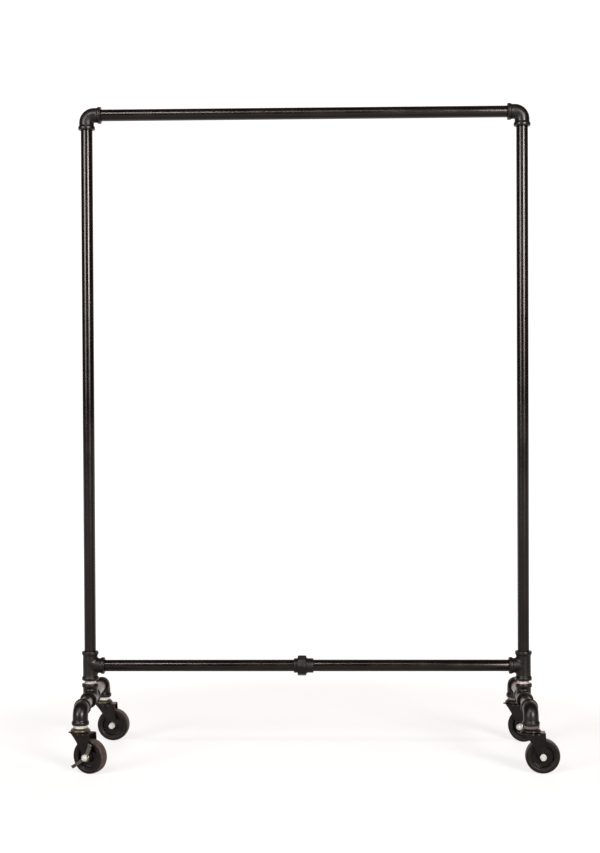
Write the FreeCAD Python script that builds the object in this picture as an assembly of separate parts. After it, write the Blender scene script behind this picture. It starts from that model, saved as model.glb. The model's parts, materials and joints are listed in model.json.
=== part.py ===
"""Rolling clothes rack of black iron pipe and screwed fittings, on four swivel castors.

Millimetres, +Z up. The origin is on the floor, under the middle of the frame: the frame stands in
the plane Y = 0, the top rail runs along X, and -Y is the front. Each piece is written to
parts/NAME.step.
"""
import FreeCAD, Part
import math
import os

Vec = FreeCAD.Vector
X_AXIS = Vec(1, 0, 0)
Y_AXIS = Vec(0, 1, 0)
Z_AXIS = Vec(0, 0, 1)

# ---- driving dimensions: pipe ---------------------------------------------------------------
pipe_od = 26.67                 # 3/4 inch nominal iron pipe
pipe_wall = 2.87
upright_length = 1219.2         # cut length of an upright
low_rail_left_length = 461.0
low_rail_right_length = 472.0
front_foot_nipple_length = 101.6
back_foot_nipple_length = 152.4
nipple_exposed = 7.3            # thread left showing between the rail tee and the base tee
thread_pitch = 1.814            # 14 threads to the inch
thread_depth = 1.1

# ---- driving dimensions: screwed fittings ----------------------------------------------------
fitting_reach = 33.3            # from the centre of a tee or an elbow to its end face
thread_engagement = 14.0        # how far a pipe is screwed into a fitting
socket_relief = 1.0             # socket depth beyond the end of the pipe
fitting_wall = 3.5              # round a pipe's thread
fitting_bead_height = 2.4       # of the bead, over the neck of a fitting
fitting_bead_width = 6.6
fitting_bead_chamfer = 1.2
fitting_shelf = 3.0             # the passage between the sockets is narrower than the pipe by this
elbow_bend_spare = 0.4          # centre line radius of an elbow's bend, over its neck's radius

# ---- driving dimensions: union ---------------------------------------------------------------
union_length = 44.6
union_engagement = 13.0
union_collar_wall = 3.2         # round a pipe's thread
union_tail_collar_width = 8.6
union_nut_width = 20.0
union_nut_wall = 3.7            # from the flange to a flat; the nut has eight flats
union_nut_corner = 2.0          # how far the nut's ends are chamfered along the union
union_nut_gap = 2.0             # between the nut and the head's collar
union_neck_wall = 2.9           # of the tail, inside the nut's lip
union_seat_height = 1.8         # of the flange, over the neck
union_seat_width = 6.0
union_nut_lip = 5.0             # wall of the nut behind the flange

# ---- driving dimensions: castors -------------------------------------------------------------
wheel_diameter = 76.2
tyre_width = 24.0
tyre_shoulder = 5.5             # rounding of the tyre's shoulders
tyre_thickness = 11.1
rim_wall = 2.6
rim_width = 20.0
web_thickness = 5.0
hub_diameter = 22.0
core_rounding = 1.5             # of the corners of the hub, the web and the rim
castor_trail = 25.0             # kingpin axis to axle
wheel_headroom = 11.2           # between the wheel and the fork's plate
castor_yaws = {                 # how far each castor is turned, degrees clockwise seen from above
    "front_left": 24.0,
    "back_left": 5.0,
    "front_right": 3.0,
    "back_right": 34.0,
}

bushing_hex_height = 6.6
bushing_hex_corners = 33.0
bushing_thread_length = 12.0
stem_diameter = 12.0            # threaded stem of the kingpin, in the bushing
stem_length = 16.0
race_height = 6.4
race_top_diameter = 31.0
race_bottom_diameter = 44.0
race_wall = 1.8
race_lip = 1.2                  # upright edge round the bottom of the race
fork_gap = 2.0                  # open gap between the upper race and the fork
fork_sheet = 2.6
fork_front = 18.0               # legs ahead of the kingpin, at the plate
fork_nose = 5.0                 # how far the plate reaches beyond the front of the legs
fork_back = 31.0                # fork plate and legs behind the kingpin
fork_inside_width = 27.0        # between the legs
fork_corner = 3.0               # rounding of the plate's corners
leg_boss_radius = 8.6
leg_front_hollow = 3.5          # how far the front edge of a leg curves in
rib_radius = 2.6
rib_proud = 1.0
rib_shares = (0.42, 0.68)       # places of the ribs, from the front of the plate to the back
rib_bottom_above_axle = 19.0
lower_race_height = 0.9         # of the ring pressed up out of the plate, in which the balls run
lower_race_root = 1.0           # depth of the ring's foot in the plate
lower_race_top_half_width = 3.0
lower_race_foot_half_width = 4.1
kingpin_diameter = 10.0
kingpin_clearance = 0.08        # radial, in the fork
kingpin_head_diameter = 17.0
kingpin_head_height = 4.0
kingpin_head_gap = 0.35
ball_diameter = 4.0
ball_circle = 24.0
ball_clearance = 0.3            # between a ball and the upper race
ball_count = 16

axle_diameter = 8.0
sleeve_wall = 2.2
sleeve_clearance = 0.06         # radial, between the sleeve and the hub
hub_end_gap = 0.4               # between the hub and a leg
washer_diameter = 14.0
washer_stack = 3.3              # thickness between a leg and the nut
nut_flats = 12.7
nut_height = 5.5
bolt_point = 2.5                # bolt beyond the nut
bolt_head_height = 5.3

# ---- driving dimensions: brake lever -----------------------------------------------------------
lever_sheet = 1.6
lever_side_gap = 0.35           # to the ribs of the leg, and to the nut
lever_clearance = 0.08          # radial, round its bush
lever_bush_diameter = 11.0
lever_hub_radius = 9.5
toe_arm_past_tyre = 1.9         # how far the toe arm reaches beyond the tread
toe_arm_width = 7.0
toe_arm_angle = 215.0           # seen from outside, from the trailing direction
toe_tab_depth = 9.0
heel_arm_short_of_tyre = 3.1
heel_arm_width = 9.0
heel_arm_angle = 66.0
heel_tab_depth = 7.0
heel_step = 5.0                 # distance between the two steps of the heel tab

# ---- values that follow ------------------------------------------------------------------------
pipe_radius = pipe_od / 2
body_radius = pipe_radius + fitting_wall
bead_radius = body_radius + fitting_bead_height
passage_radius = pipe_radius - fitting_shelf
elbow_bend = body_radius + elbow_bend_spare
take_out = fitting_reach - thread_engagement
union_gap = union_length - 2 * union_engagement
upright_spacing = 2 * take_out + low_rail_left_length + union_gap + low_rail_right_length
top_rail_length = upright_spacing - 2 * take_out
half_spacing = upright_spacing / 2
front_foot_reach = front_foot_nipple_length + 2 * take_out
back_foot_reach = back_foot_nipple_length + 2 * take_out
close_nipple_length = 2 * thread_engagement + nipple_exposed
axle_z = wheel_diameter / 2
plate_bottom_z = wheel_diameter + wheel_headroom
plate_top_z = plate_bottom_z + fork_sheet
race_bottom_z = plate_top_z + fork_gap
race_top_z = race_bottom_z + race_height
castor_height = race_top_z + bushing_hex_height
base_axis_z = castor_height + fitting_reach
low_rail_z = base_axis_z + 2 * fitting_reach + nipple_exposed
top_rail_z = low_rail_z + upright_length + 2 * take_out
union_left_x = -half_spacing + take_out + low_rail_left_length - union_engagement
union_neck_radius = pipe_radius + union_neck_wall
union_seat_radius = union_neck_radius + union_seat_height
union_nut_flats = 2 * (union_seat_radius + union_nut_wall)
rim_radius = wheel_diameter / 2 - tyre_thickness
leg_inside = fork_inside_width / 2
leg_outside = leg_inside + fork_sheet
sleeve_radius = axle_diameter / 2 + sleeve_wall


def write(name, shape):
    """Write one piece as parts/NAME.step."""
    shape.exportStep("parts/" + name + ".step")
    print(name, round(shape.Volume / 1000, 2), "cm3", "valid" if shape.isValid() else "NOT VALID")


def rod(radius, start, direction, length):
    """A solid cylinder."""
    return Part.makeCylinder(radius, length, start, direction)


def tube(outer_radius, inner_radius, start, direction, length):
    """A cylinder with a bore right through it."""
    return rod(outer_radius, start, direction, length).cut(rod(inner_radius, start, direction, length))


def turned(points, centre, axis):
    """A solid of revolution. Each point is (distance along the axis, radius)."""
    side = axis.cross(Z_AXIS)
    if side.Length < 0.5:
        side = Vec(1, 0, 0)
    side.normalize()
    corners = [centre + axis * along + side * radius for along, radius in points]
    face = Part.Face(Part.makePolygon(corners + [corners[0]]))
    return face.revolve(centre, axis, 360)


def prism(corner_count, across_flats, start, direction, length):
    """A regular prism with flat sides, such as a nut without its hole."""
    radius = across_flats / 2 / math.cos(math.pi / corner_count)
    side = direction.cross(Z_AXIS)
    if side.Length < 0.5:
        side = Vec(1, 0, 0)
    side.normalize()
    other = direction.cross(side)
    corners = []
    for index in range(corner_count):
        angle = 2 * math.pi * (index + 0.5) / corner_count
        corners.append(start + side * (radius * math.cos(angle)) + other * (radius * math.sin(angle)))
    return Part.Face(Part.makePolygon(corners + [corners[0]])).extrude(direction * length)


# ---- screwed fittings --------------------------------------------------------------------------
def fitting_arm(centre, direction, begin):
    """The outside of one arm of a fitting: a plain neck, and a bead round its end."""
    bead_begin = fitting_reach - fitting_bead_width
    outline = [
        (begin, 0),
        (begin, body_radius),
        (bead_begin - fitting_bead_height, body_radius),
        (bead_begin, bead_radius),
        (fitting_reach - fitting_bead_chamfer, bead_radius),
        (fitting_reach, bead_radius - fitting_bead_chamfer),
        (fitting_reach, 0),
    ]
    return turned(outline, centre, direction)


def fitting_bores(centre, directions):
    """The sockets for the pipes, and the passages that join them."""
    depth = thread_engagement + socket_relief
    cuts = []
    for direction in directions:
        cuts.append(rod(pipe_radius, centre + direction * (fitting_reach - depth), direction, depth))
        cuts.append(rod(passage_radius, centre, direction, fitting_reach))
    cuts.append(Part.makeSphere(passage_radius, centre))
    return cuts


def tee(centre, run, branch):
    """A tee: two arms along the run, and one along the branch."""
    outside = fitting_arm(centre, run, 0)
    outside = outside.fuse([fitting_arm(centre, run * -1, 0), fitting_arm(centre, branch, 0)])
    return outside.cut(fitting_bores(centre, [run, run * -1, branch])).removeSplitter()


def elbow(centre, first, second):
    """An elbow: two arms, joined by a quarter of a ring."""
    axis = first.cross(second)
    circle = Part.Wire(Part.makeCircle(body_radius, centre + first * elbow_bend, first))
    corner = Part.Face(circle).revolve(centre + (first + second) * elbow_bend, axis * -1, 90)
    outside = corner.fuse([fitting_arm(centre, first, elbow_bend), fitting_arm(centre, second, elbow_bend)])
    return outside.cut(fitting_bores(centre, [first, second])).removeSplitter()


def pipe(start, direction, length):
    """A length of iron pipe."""
    return tube(pipe_radius, pipe_radius - pipe_wall, start, direction, length)


def close_nipple(start):
    """A short pipe, threaded from end to end; the thread is drawn as rings."""
    points = [(0, pipe_radius - pipe_wall)]
    thread_count = int(close_nipple_length / thread_pitch)
    margin = (close_nipple_length - thread_count * thread_pitch) / 2
    points.append((0, pipe_radius - thread_depth))
    for index in range(thread_count):
        valley = margin + index * thread_pitch
        points.append((valley, pipe_radius - thread_depth))
        points.append((valley + thread_pitch / 2, pipe_radius))
    points.append((close_nipple_length - margin, pipe_radius - thread_depth))
    points.append((close_nipple_length, pipe_radius - thread_depth))
    points.append((close_nipple_length, pipe_radius - pipe_wall))
    return turned(points, start, Z_AXIS)


# ---- union in the low rail ------------------------------------------------------------------------
def union_tail(left_end):
    """The left part of the union: a collar outside the nut, and a flange inside it."""
    collar = rod(pipe_radius + union_collar_wall, left_end, X_AXIS, union_tail_collar_width)
    neck_end = union_tail_collar_width + union_nut_lip
    neck = rod(union_neck_radius, left_end, X_AXIS, neck_end)
    flange = rod(union_seat_radius, left_end + X_AXIS * neck_end, X_AXIS, union_seat_width)
    body = collar.fuse([neck, flange])
    bores = [
        rod(pipe_radius, left_end, X_AXIS, union_engagement),
        rod(passage_radius, left_end, X_AXIS, union_length),
    ]
    return body.cut(bores).removeSplitter()


def union_head(left_end):
    """The right part of the union: a collar, and the threaded spigot that the nut screws on to."""
    collar_begin = union_tail_collar_width + union_nut_width + union_nut_gap
    spigot_begin = union_tail_collar_width + union_nut_lip + union_seat_width
    collar_width = union_length - collar_begin
    collar = rod(pipe_radius + union_collar_wall, left_end + X_AXIS * collar_begin, X_AXIS, collar_width)
    spigot_start = left_end + X_AXIS * spigot_begin
    spigot = rod(union_seat_radius, spigot_start, X_AXIS, collar_begin - spigot_begin)
    right_end = left_end + X_AXIS * union_length
    bores = [
        rod(pipe_radius, right_end, X_AXIS * -1, union_engagement),
        rod(passage_radius, left_end, X_AXIS, union_length),
    ]
    return collar.fuse(spigot).cut(bores).removeSplitter()


def union_nut(left_end):
    """The eight-sided nut that draws the two parts together."""
    start = left_end + X_AXIS * union_tail_collar_width
    body = prism(8, union_nut_flats, start, X_AXIS, union_nut_width)
    corner_radius = union_nut_flats / 2 / math.cos(math.pi / 8)
    end_radius = corner_radius - union_nut_corner
    rounded = turned(
        [
            (0, 0),
            (0, end_radius),
            (union_nut_corner, corner_radius),
            (union_nut_width - union_nut_corner, corner_radius),
            (union_nut_width, end_radius),
            (union_nut_width, 0),
        ],
        start,
        X_AXIS,
    )
    neck_hole = rod(union_neck_radius, start, X_AXIS, union_nut_lip)
    thread_hole = rod(union_seat_radius, start + X_AXIS * union_nut_lip, X_AXIS, union_nut_width)
    return body.common(rounded).cut([neck_hole, thread_hole])


# ---- castors, drawn with the kingpin on the Z axis and the wheel trailing towards +X ------------------
def castor_bushing():
    """The hexagon bushing: it screws into the elbow, and the stem screws into it."""
    hexagon = prism(6, bushing_hex_corners * math.cos(math.pi / 6), Vec(0, 0, race_top_z), Z_AXIS,
                    bushing_hex_height)
    thread = rod(pipe_radius, Vec(0, 0, castor_height), Z_AXIS, bushing_thread_length)
    hole = rod(stem_diameter / 2, Vec(0, 0, race_top_z), Z_AXIS, bushing_hex_height + bushing_thread_length)
    return hexagon.fuse(thread).cut(hole).removeSplitter()


def castor_upper_race():
    """The domed race under the bushing, hollow underneath, that covers the balls."""
    top = race_top_diameter / 2
    bottom = race_bottom_diameter / 2
    pocket_z = race_bottom_z + race_wall
    dome = turned(
        [(race_bottom_z, 0), (race_bottom_z, bottom), (race_bottom_z + race_lip, bottom), (race_top_z, top),
         (race_top_z, 0)],
        Vec(0, 0, 0),
        Z_AXIS,
    )
    groove_radius = ball_diameter / 2 + ball_clearance
    groove = Part.makeTorus(ball_circle / 2, groove_radius, Vec(0, 0, ball_centre_z()))
    pocket = tube(bottom - race_wall, ball_circle / 2 + ball_diameter, Vec(0, 0, race_bottom_z), Z_AXIS,
                  pocket_z - race_bottom_z)
    hole = rod(kingpin_diameter / 2, Vec(0, 0, race_bottom_z), Z_AXIS, race_height)
    return dome.cut([groove, pocket, hole])


def ball_centre_z():
    """Height of the ring of balls: half of each ball lies in the fork's groove."""
    return plate_top_z + ball_diameter / 4


def castor_kingpin():
    """The threaded stem, the shank through the fork, and the riveted head under it."""
    stem = rod(stem_diameter / 2, Vec(0, 0, race_top_z), Z_AXIS, stem_length)
    head_top = plate_bottom_z - kingpin_head_gap
    shank = rod(kingpin_diameter / 2, Vec(0, 0, head_top), Z_AXIS, race_top_z - head_top)
    head = turned(
        [
            (head_top, 0),
            (head_top, kingpin_head_diameter / 2),
            (head_top - kingpin_head_height / 2, kingpin_head_diameter / 2),
            (head_top - kingpin_head_height, kingpin_head_diameter / 3),
            (head_top - kingpin_head_height, 0),
        ],
        Vec(0, 0, 0),
        Z_AXIS,
    )
    return stem.fuse([shank, head]).removeSplitter()


def castor_balls():
    """The ring of bearing balls."""
    balls = []
    for index in range(ball_count):
        angle = 2 * math.pi * index / ball_count
        place = Vec(ball_circle / 2 * math.cos(angle), ball_circle / 2 * math.sin(angle), ball_centre_z())
        balls.append(Part.makeSphere(ball_diameter / 2, place))
    return Part.makeCompound(balls)


def tangent_angle(point_x, point_z, side):
    """Angle, at the axle, of the point where a line from (x, z) touches the leg's round end."""
    run = point_x - castor_trail
    rise = point_z - axle_z
    return math.atan2(rise, run) + side * math.acos(leg_boss_radius / math.hypot(run, rise))


def fork_leg(inner_y, thickness):
    """One leg: wide at the plate, and tapering to a round end at the axle."""
    back_angle = tangent_angle(fork_back, plate_top_z, -1)
    front_angle = tangent_angle(-fork_front, plate_top_z, 1)
    bottom_angle = (back_angle + front_angle) / 2 + math.pi

    def on_boss(angle):
        return Vec(castor_trail + leg_boss_radius * math.cos(angle), inner_y,
                   axle_z + leg_boss_radius * math.sin(angle))

    front_top = Vec(-fork_front, inner_y, plate_top_z)
    back_top = Vec(fork_back, inner_y, plate_top_z)
    front_low = on_boss(front_angle)
    chord = front_low - front_top
    hollow = Y_AXIS.cross(chord).normalize() * -leg_front_hollow
    front_middle = (front_top + front_low) * 0.5 + hollow
    edges = [
        Part.LineSegment(front_top, back_top).toShape(),
        Part.LineSegment(back_top, on_boss(back_angle)).toShape(),
        Part.Arc(on_boss(back_angle), on_boss(bottom_angle), on_boss(front_angle)).toShape(),
        Part.Arc(front_low, front_middle, front_top).toShape(),
    ]
    return Part.Face(Part.Wire(edges)).extrude(Y_AXIS * thickness)


def leg_ribs(side):
    """Two upright pressed ribs on the outside of a leg. side is -1 or 1."""
    centre_y = side * (leg_outside + rib_proud - rib_radius)
    bottom_z = axle_z + rib_bottom_above_axle
    ribs = []
    for share in rib_shares:
        rib_x = -fork_front + share * (fork_front + fork_back)
        ribs.append(rod(rib_radius, Vec(rib_x, centre_y, bottom_z), Z_AXIS, plate_bottom_z - bottom_z))
    solid_leg = Part.makeBox(fork_front + fork_back, 3 * rib_radius, plate_top_z,
                             Vec(-fork_front, leg_inside if side > 0 else -leg_inside - 3 * rib_radius, 0))
    return [rib.common(solid_leg) for rib in ribs]


def castor_fork():
    """The stamped fork: a plate with the lower race pressed in it, and two legs."""
    plate = Part.makeBox(fork_nose + fork_front + fork_back, 2 * leg_outside, fork_sheet,
                         Vec(-fork_front - fork_nose, -leg_outside, plate_bottom_z))
    corners = [edge for edge in plate.Edges if abs(edge.tangentAt(edge.FirstParameter).z) > 0.99]
    plate = plate.makeFillet(fork_corner, corners)
    lower_race = turned(
        [
            (plate_top_z - lower_race_root, ball_circle / 2 - lower_race_foot_half_width),
            (plate_top_z - lower_race_root, ball_circle / 2 + lower_race_foot_half_width),
            (plate_top_z + lower_race_height, ball_circle / 2 + lower_race_top_half_width),
            (plate_top_z + lower_race_height, ball_circle / 2 - lower_race_top_half_width),
        ],
        Vec(0, 0, 0),
        Z_AXIS,
    )
    pieces = [lower_race, fork_leg(leg_inside, fork_sheet), fork_leg(-leg_outside, fork_sheet)]
    for side in (-1, 1):
        pieces += leg_ribs(side)
    groove = Part.makeTorus(ball_circle / 2, ball_diameter / 2, Vec(0, 0, ball_centre_z()))
    king_hole = rod(kingpin_diameter / 2 + kingpin_clearance, Vec(0, 0, plate_bottom_z - 1), Z_AXIS,
                    fork_sheet + 4)
    axle_hole = rod(axle_diameter / 2, Vec(castor_trail, -leg_outside - 2, axle_z), Y_AXIS,
                    2 * leg_outside + 4)
    return plate.fuse(pieces).cut([groove, king_hole, axle_hole]).removeSplitter()


def castor_wheel_core():
    """The moulded core: hub, web and rim, with a bore that runs on the sleeve."""
    hub_half = leg_inside - hub_end_gap
    rim_inner = rim_radius - rim_wall
    hub = hub_diameter / 2
    outline = [
        (-hub_half, sleeve_radius + sleeve_clearance),
        (-hub_half, hub - core_rounding),
        (-hub_half + core_rounding, hub),
        (-web_thickness / 2 - core_rounding, hub),
        (-web_thickness / 2, hub + core_rounding),
        (-web_thickness / 2, rim_inner - core_rounding),
        (-web_thickness / 2 - core_rounding, rim_inner),
        (-rim_width / 2, rim_inner),
        (-rim_width / 2, rim_radius),
    ]
    mirrored = [(-along, radius) for along, radius in reversed(outline)]
    return turned(outline + mirrored, Vec(castor_trail, 0, axle_z), Y_AXIS)


def castor_tyre():
    """The tyre: a ring with rounded shoulders."""
    centre = Vec(castor_trail, 0, axle_z)
    start = centre - Y_AXIS * (tyre_width / 2)
    ring = tube(wheel_diameter / 2, rim_radius, start, Y_AXIS, tyre_width)
    shoulders = [
        edge
        for edge in ring.Edges
        if edge.Curve.TypeId == "Part::GeomCircle" and abs(edge.Curve.Radius - wheel_diameter / 2) < 0.01
    ]
    return ring.makeFillet(tyre_shoulder, shoulders)


def castor_axle(has_brake):
    """The axle bolt, its nut and washers, and the sleeve that the wheel turns on."""
    centre = Vec(castor_trail, 0, axle_z)
    front = Y_AXIS * -1
    nut_begin = leg_outside + washer_stack
    bolt_length = nut_begin + nut_height + bolt_point + leg_outside
    bolt = rod(axle_diameter / 2, centre + Y_AXIS * leg_outside, front, bolt_length)
    head = prism(6, nut_flats, centre + Y_AXIS * leg_outside, Y_AXIS, bolt_head_height)
    nut = prism(6, nut_flats, centre + front * nut_begin, front, nut_height)
    nut = nut.cut(rod(axle_diameter / 2, centre + front * nut_begin, front, nut_height))
    stack_diameter = lever_bush_diameter if has_brake else washer_diameter
    stack = tube(stack_diameter / 2, axle_diameter / 2, centre + front * leg_outside, front, washer_stack)
    sleeve = tube(sleeve_radius, axle_diameter / 2, centre + front * leg_inside, Y_AXIS, 2 * leg_inside)
    return Part.makeCompound([bolt.fuse(head), nut, stack, sleeve])


def lever_arm(angle_degrees, reach, width, tab_depth, outer_y):
    """One arm of the brake lever: a strip from the axle, with its end bent outwards."""
    strip = Part.makeBox(reach, lever_sheet, width, Vec(0, outer_y, -width / 2))
    tab = Part.makeBox(lever_sheet, tab_depth, width, Vec(reach - lever_sheet, outer_y - tab_depth, -width / 2))
    arm = strip.fuse(tab)
    arm.rotate(Vec(0, 0, 0), Y_AXIS, -angle_degrees)
    arm.translate(Vec(castor_trail, 0, axle_z))
    return arm


def brake_lever():
    """The brake lever: it rocks on the axle, with an arm to press at each end."""
    inner_y = -leg_outside - rib_proud - lever_side_gap
    outer_y = inner_y - lever_sheet
    centre = Vec(castor_trail, outer_y, axle_z)
    hub = rod(lever_hub_radius, centre, Y_AXIS, lever_sheet)
    toe_arm_reach = wheel_diameter / 2 + toe_arm_past_tyre
    heel_arm_reach = wheel_diameter / 2 - heel_arm_short_of_tyre
    toe = lever_arm(toe_arm_angle, toe_arm_reach, toe_arm_width, toe_tab_depth, outer_y)
    heel = lever_arm(heel_arm_angle, heel_arm_reach, heel_arm_width, heel_tab_depth, outer_y)
    step = lever_arm(heel_arm_angle, heel_arm_reach - heel_step, heel_arm_width, heel_tab_depth / 2, outer_y)
    hole = rod(lever_bush_diameter / 2 + lever_clearance, centre - Y_AXIS, Y_AXIS, lever_sheet + 2)
    return hub.fuse([toe, heel, step]).cut(hole).removeSplitter()


def place_castor(shape, corner):
    """Turn a castor piece to its corner's yaw, and move it under that corner's elbow."""
    placed = shape.copy()
    placed.rotate(Vec(0, 0, 0), Z_AXIS, -castor_yaws[corner])
    placed.translate(Vec(corner_x(corner), corner_y(corner), 0))
    return placed


def corner_x(corner):
    """X of a corner's kingpin."""
    return -half_spacing if corner.endswith("left") else half_spacing


def corner_y(corner):
    """Y of a corner's kingpin."""
    return -front_foot_reach if corner.startswith("front") else back_foot_reach


# ---- the whole rack ----------------------------------------------------------------------------------
def write_top_rail():
    """The rail that the clothes hang on."""
    write("top_rail", pipe(Vec(-top_rail_length / 2, 0, top_rail_z), X_AXIS, top_rail_length))


def write_side(side, sign):
    """Everything under one end of the top rail, down to the base tee."""
    inward = X_AXIS * -sign
    x = sign * half_spacing
    upright_start = Vec(x, 0, low_rail_z + take_out)
    nipple_start = Vec(x, 0, base_axis_z + take_out)
    write("top_elbow_" + side, elbow(Vec(x, 0, top_rail_z), inward, Z_AXIS * -1))
    write("upright_" + side, pipe(upright_start, Z_AXIS, upright_length))
    write("rail_tee_" + side, tee(Vec(x, 0, low_rail_z), Z_AXIS, inward))
    write("close_nipple_" + side, close_nipple(nipple_start))
    write("base_tee_" + side, tee(Vec(x, 0, base_axis_z), Y_AXIS, Z_AXIS))


def write_low_rail():
    """The low rail's two pipes, and the union between them."""
    union_end = Vec(union_left_x, 0, low_rail_z)
    left_start = Vec(-half_spacing + take_out, 0, low_rail_z)
    right_start = Vec(union_left_x + union_length - union_engagement, 0, low_rail_z)
    write("low_rail_left", pipe(left_start, X_AXIS, low_rail_left_length))
    write("low_rail_right", pipe(right_start, X_AXIS, low_rail_right_length))
    write("union_tail", union_tail(union_end))
    write("union_head", union_head(union_end))
    write("union_nut", union_nut(union_end))


def write_corner(corner):
    """A foot nipple, its elbow, and the castor under it."""
    outward = Y_AXIS * math.copysign(1, corner_y(corner))
    tee_centre = Vec(corner_x(corner), 0, base_axis_z)
    elbow_centre = Vec(corner_x(corner), corner_y(corner), base_axis_z)
    has_brake = corner == "front_left"
    nipple_length = abs(corner_y(corner)) - 2 * take_out
    write("foot_nipple_" + corner, pipe(tee_centre + outward * take_out, outward, nipple_length))
    write("foot_elbow_" + corner, elbow(elbow_centre, outward * -1, Z_AXIS * -1))
    write("bushing_" + corner, place_castor(castor_bushing(), corner))
    write("kingpin_" + corner, place_castor(castor_kingpin(), corner))
    write("upper_race_" + corner, place_castor(castor_upper_race(), corner))
    write("bearing_balls_" + corner, place_castor(castor_balls(), corner))
    write("fork_" + corner, place_castor(castor_fork(), corner))
    write("wheel_core_" + corner, place_castor(castor_wheel_core(), corner))
    write("tyre_" + corner, place_castor(castor_tyre(), corner))
    write("axle_" + corner, place_castor(castor_axle(has_brake), corner))
    if has_brake:
        write("brake_lever", place_castor(brake_lever(), corner))


os.makedirs("parts", exist_ok=True)
write_top_rail()
write_side("left", -1)
write_side("right", 1)
write_low_rail()
for corner_name in castor_yaws:
    write_corner(corner_name)
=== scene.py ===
# %% [markdown]
# # A rolling clothes rack of iron pipe
# The rack is plumbing: black iron pipes screwed into cast fittings, on four swivel castors. The design
# (which piece is where, and what turns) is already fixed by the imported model, so this lesson only gives
# each piece a finer surface and a finish. Every surface is a formula on a grid of points, worked out with
# numpy as whole arrays. Lengths are metres, +Z is up, and the front of the rack faces -Y.

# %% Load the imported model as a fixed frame
import json
import math

import bmesh
import bpy
import numpy as np
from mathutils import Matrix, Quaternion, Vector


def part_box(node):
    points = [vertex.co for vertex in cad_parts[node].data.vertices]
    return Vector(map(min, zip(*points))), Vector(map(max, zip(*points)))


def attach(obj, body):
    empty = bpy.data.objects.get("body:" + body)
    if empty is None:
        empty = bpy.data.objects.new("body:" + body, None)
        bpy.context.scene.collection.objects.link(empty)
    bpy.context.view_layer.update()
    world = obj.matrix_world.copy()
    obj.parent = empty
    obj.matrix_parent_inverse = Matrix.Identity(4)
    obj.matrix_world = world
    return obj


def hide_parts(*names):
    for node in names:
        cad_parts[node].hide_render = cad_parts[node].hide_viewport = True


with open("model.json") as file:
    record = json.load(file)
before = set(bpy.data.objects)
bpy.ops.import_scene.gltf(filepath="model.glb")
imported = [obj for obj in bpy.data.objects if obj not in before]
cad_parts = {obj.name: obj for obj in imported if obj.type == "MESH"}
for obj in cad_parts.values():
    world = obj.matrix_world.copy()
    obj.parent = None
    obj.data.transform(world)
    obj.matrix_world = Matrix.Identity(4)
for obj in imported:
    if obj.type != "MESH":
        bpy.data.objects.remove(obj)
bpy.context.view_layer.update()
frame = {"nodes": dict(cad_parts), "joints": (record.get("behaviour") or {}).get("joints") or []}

MM = 0.001

# %% [markdown]
# ## Sizes
# Places are read from the frame, so a pipe or a castor can't drift away from its CAD piece. The few sizes
# that a box can't tell, such as the wall of a pipe or the rounding of a bead, are named here once.

# %% Read the places of the axes from the frame
CORNERS = ("front_left", "back_left", "front_right", "back_right")
SIDES = ("left", "right")
JOINTS = {joint["name"]: joint for joint in frame["joints"]}


def node_box(node):
    """Lowest and highest corner of a CAD piece, as arrays."""
    low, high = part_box(node)
    return np.array(low), np.array(high)


def node_centre(node):
    """Middle of a CAD piece's box."""
    low, high = node_box(node)
    return (low + high) / 2


PIPE_RADIUS = float(np.ptp(node_box("top_rail"), axis=0)[2] / 2)
UPRIGHT_X = {side: float(node_centre("upright_" + side)[0]) for side in SIDES}
TOP_RAIL_Z = float(node_centre("top_rail")[2])
LOW_RAIL_Z = float(node_centre("low_rail_left")[2])
BASE_Z = float(node_centre("foot_nipple_front_left")[2])
KINGPIN = {c: np.array(JOINTS["swivel_" + c]["pos_m"]) * (1, 1, 0) for c in CORNERS}
FITTING_REACH = float(node_box("base_tee_left")[1][1])
ELBOW_FACE_Z = BASE_Z - FITTING_REACH
print("uprights at x =", UPRIGHT_X, "rails at z =", round(LOW_RAIL_Z, 4), round(TOP_RAIL_Z, 4))

# %% Sizes of pipe and fittings
PIPE_WALL = 2.87 * MM
BODY_RADIUS = PIPE_RADIUS + 3.5 * MM
BEAD_RADIUS = BODY_RADIUS + 2.4 * MM
BEAD_WIDTH = 6.6 * MM
SOCKET_DEPTH = 15.0 * MM
PASSAGE_RADIUS = PIPE_RADIUS - 3.0 * MM
ELBOW_BEND = BODY_RADIUS + 0.4 * MM
AROUND = 96                      # points round a pipe or a fitting

# %% [markdown]
# ## From a formula to a mesh
# A grid of points becomes a mesh by joining neighbours with four-sided faces. Where the grid closes on
# itself, as round a pipe, the last column is joined to the first. Seams and poles are welded, and the
# normals are pointed outwards, so that each piece is one closed skin.

# %% Mesh helpers


def grid_faces(rows, columns, wrap_rows=False, wrap_columns=True):
    """Faces of a grid whose point (row, column) has the number row * columns + column."""
    row = np.arange(rows if wrap_rows else rows - 1)[:, None]
    column = np.arange(columns if wrap_columns else columns - 1)[None, :]
    next_row = (row + 1) % rows
    next_column = (column + 1) % columns
    corners = [
        row * columns + column,
        row * columns + next_column,
        next_row * columns + next_column,
        next_row * columns + column,
    ]
    return np.stack(np.broadcast_arrays(*corners), axis=-1).reshape(-1, 4)


def joined(parts):
    """Put several (points, faces) pairs into one pair."""
    points, faces, offset = [], [], 0
    for part_points, part_faces in parts:
        flat = part_points.reshape(-1, 3)
        points.append(flat)
        faces.append(part_faces + offset)
        offset += len(flat)
    return np.concatenate(points), np.concatenate(faces)


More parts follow.
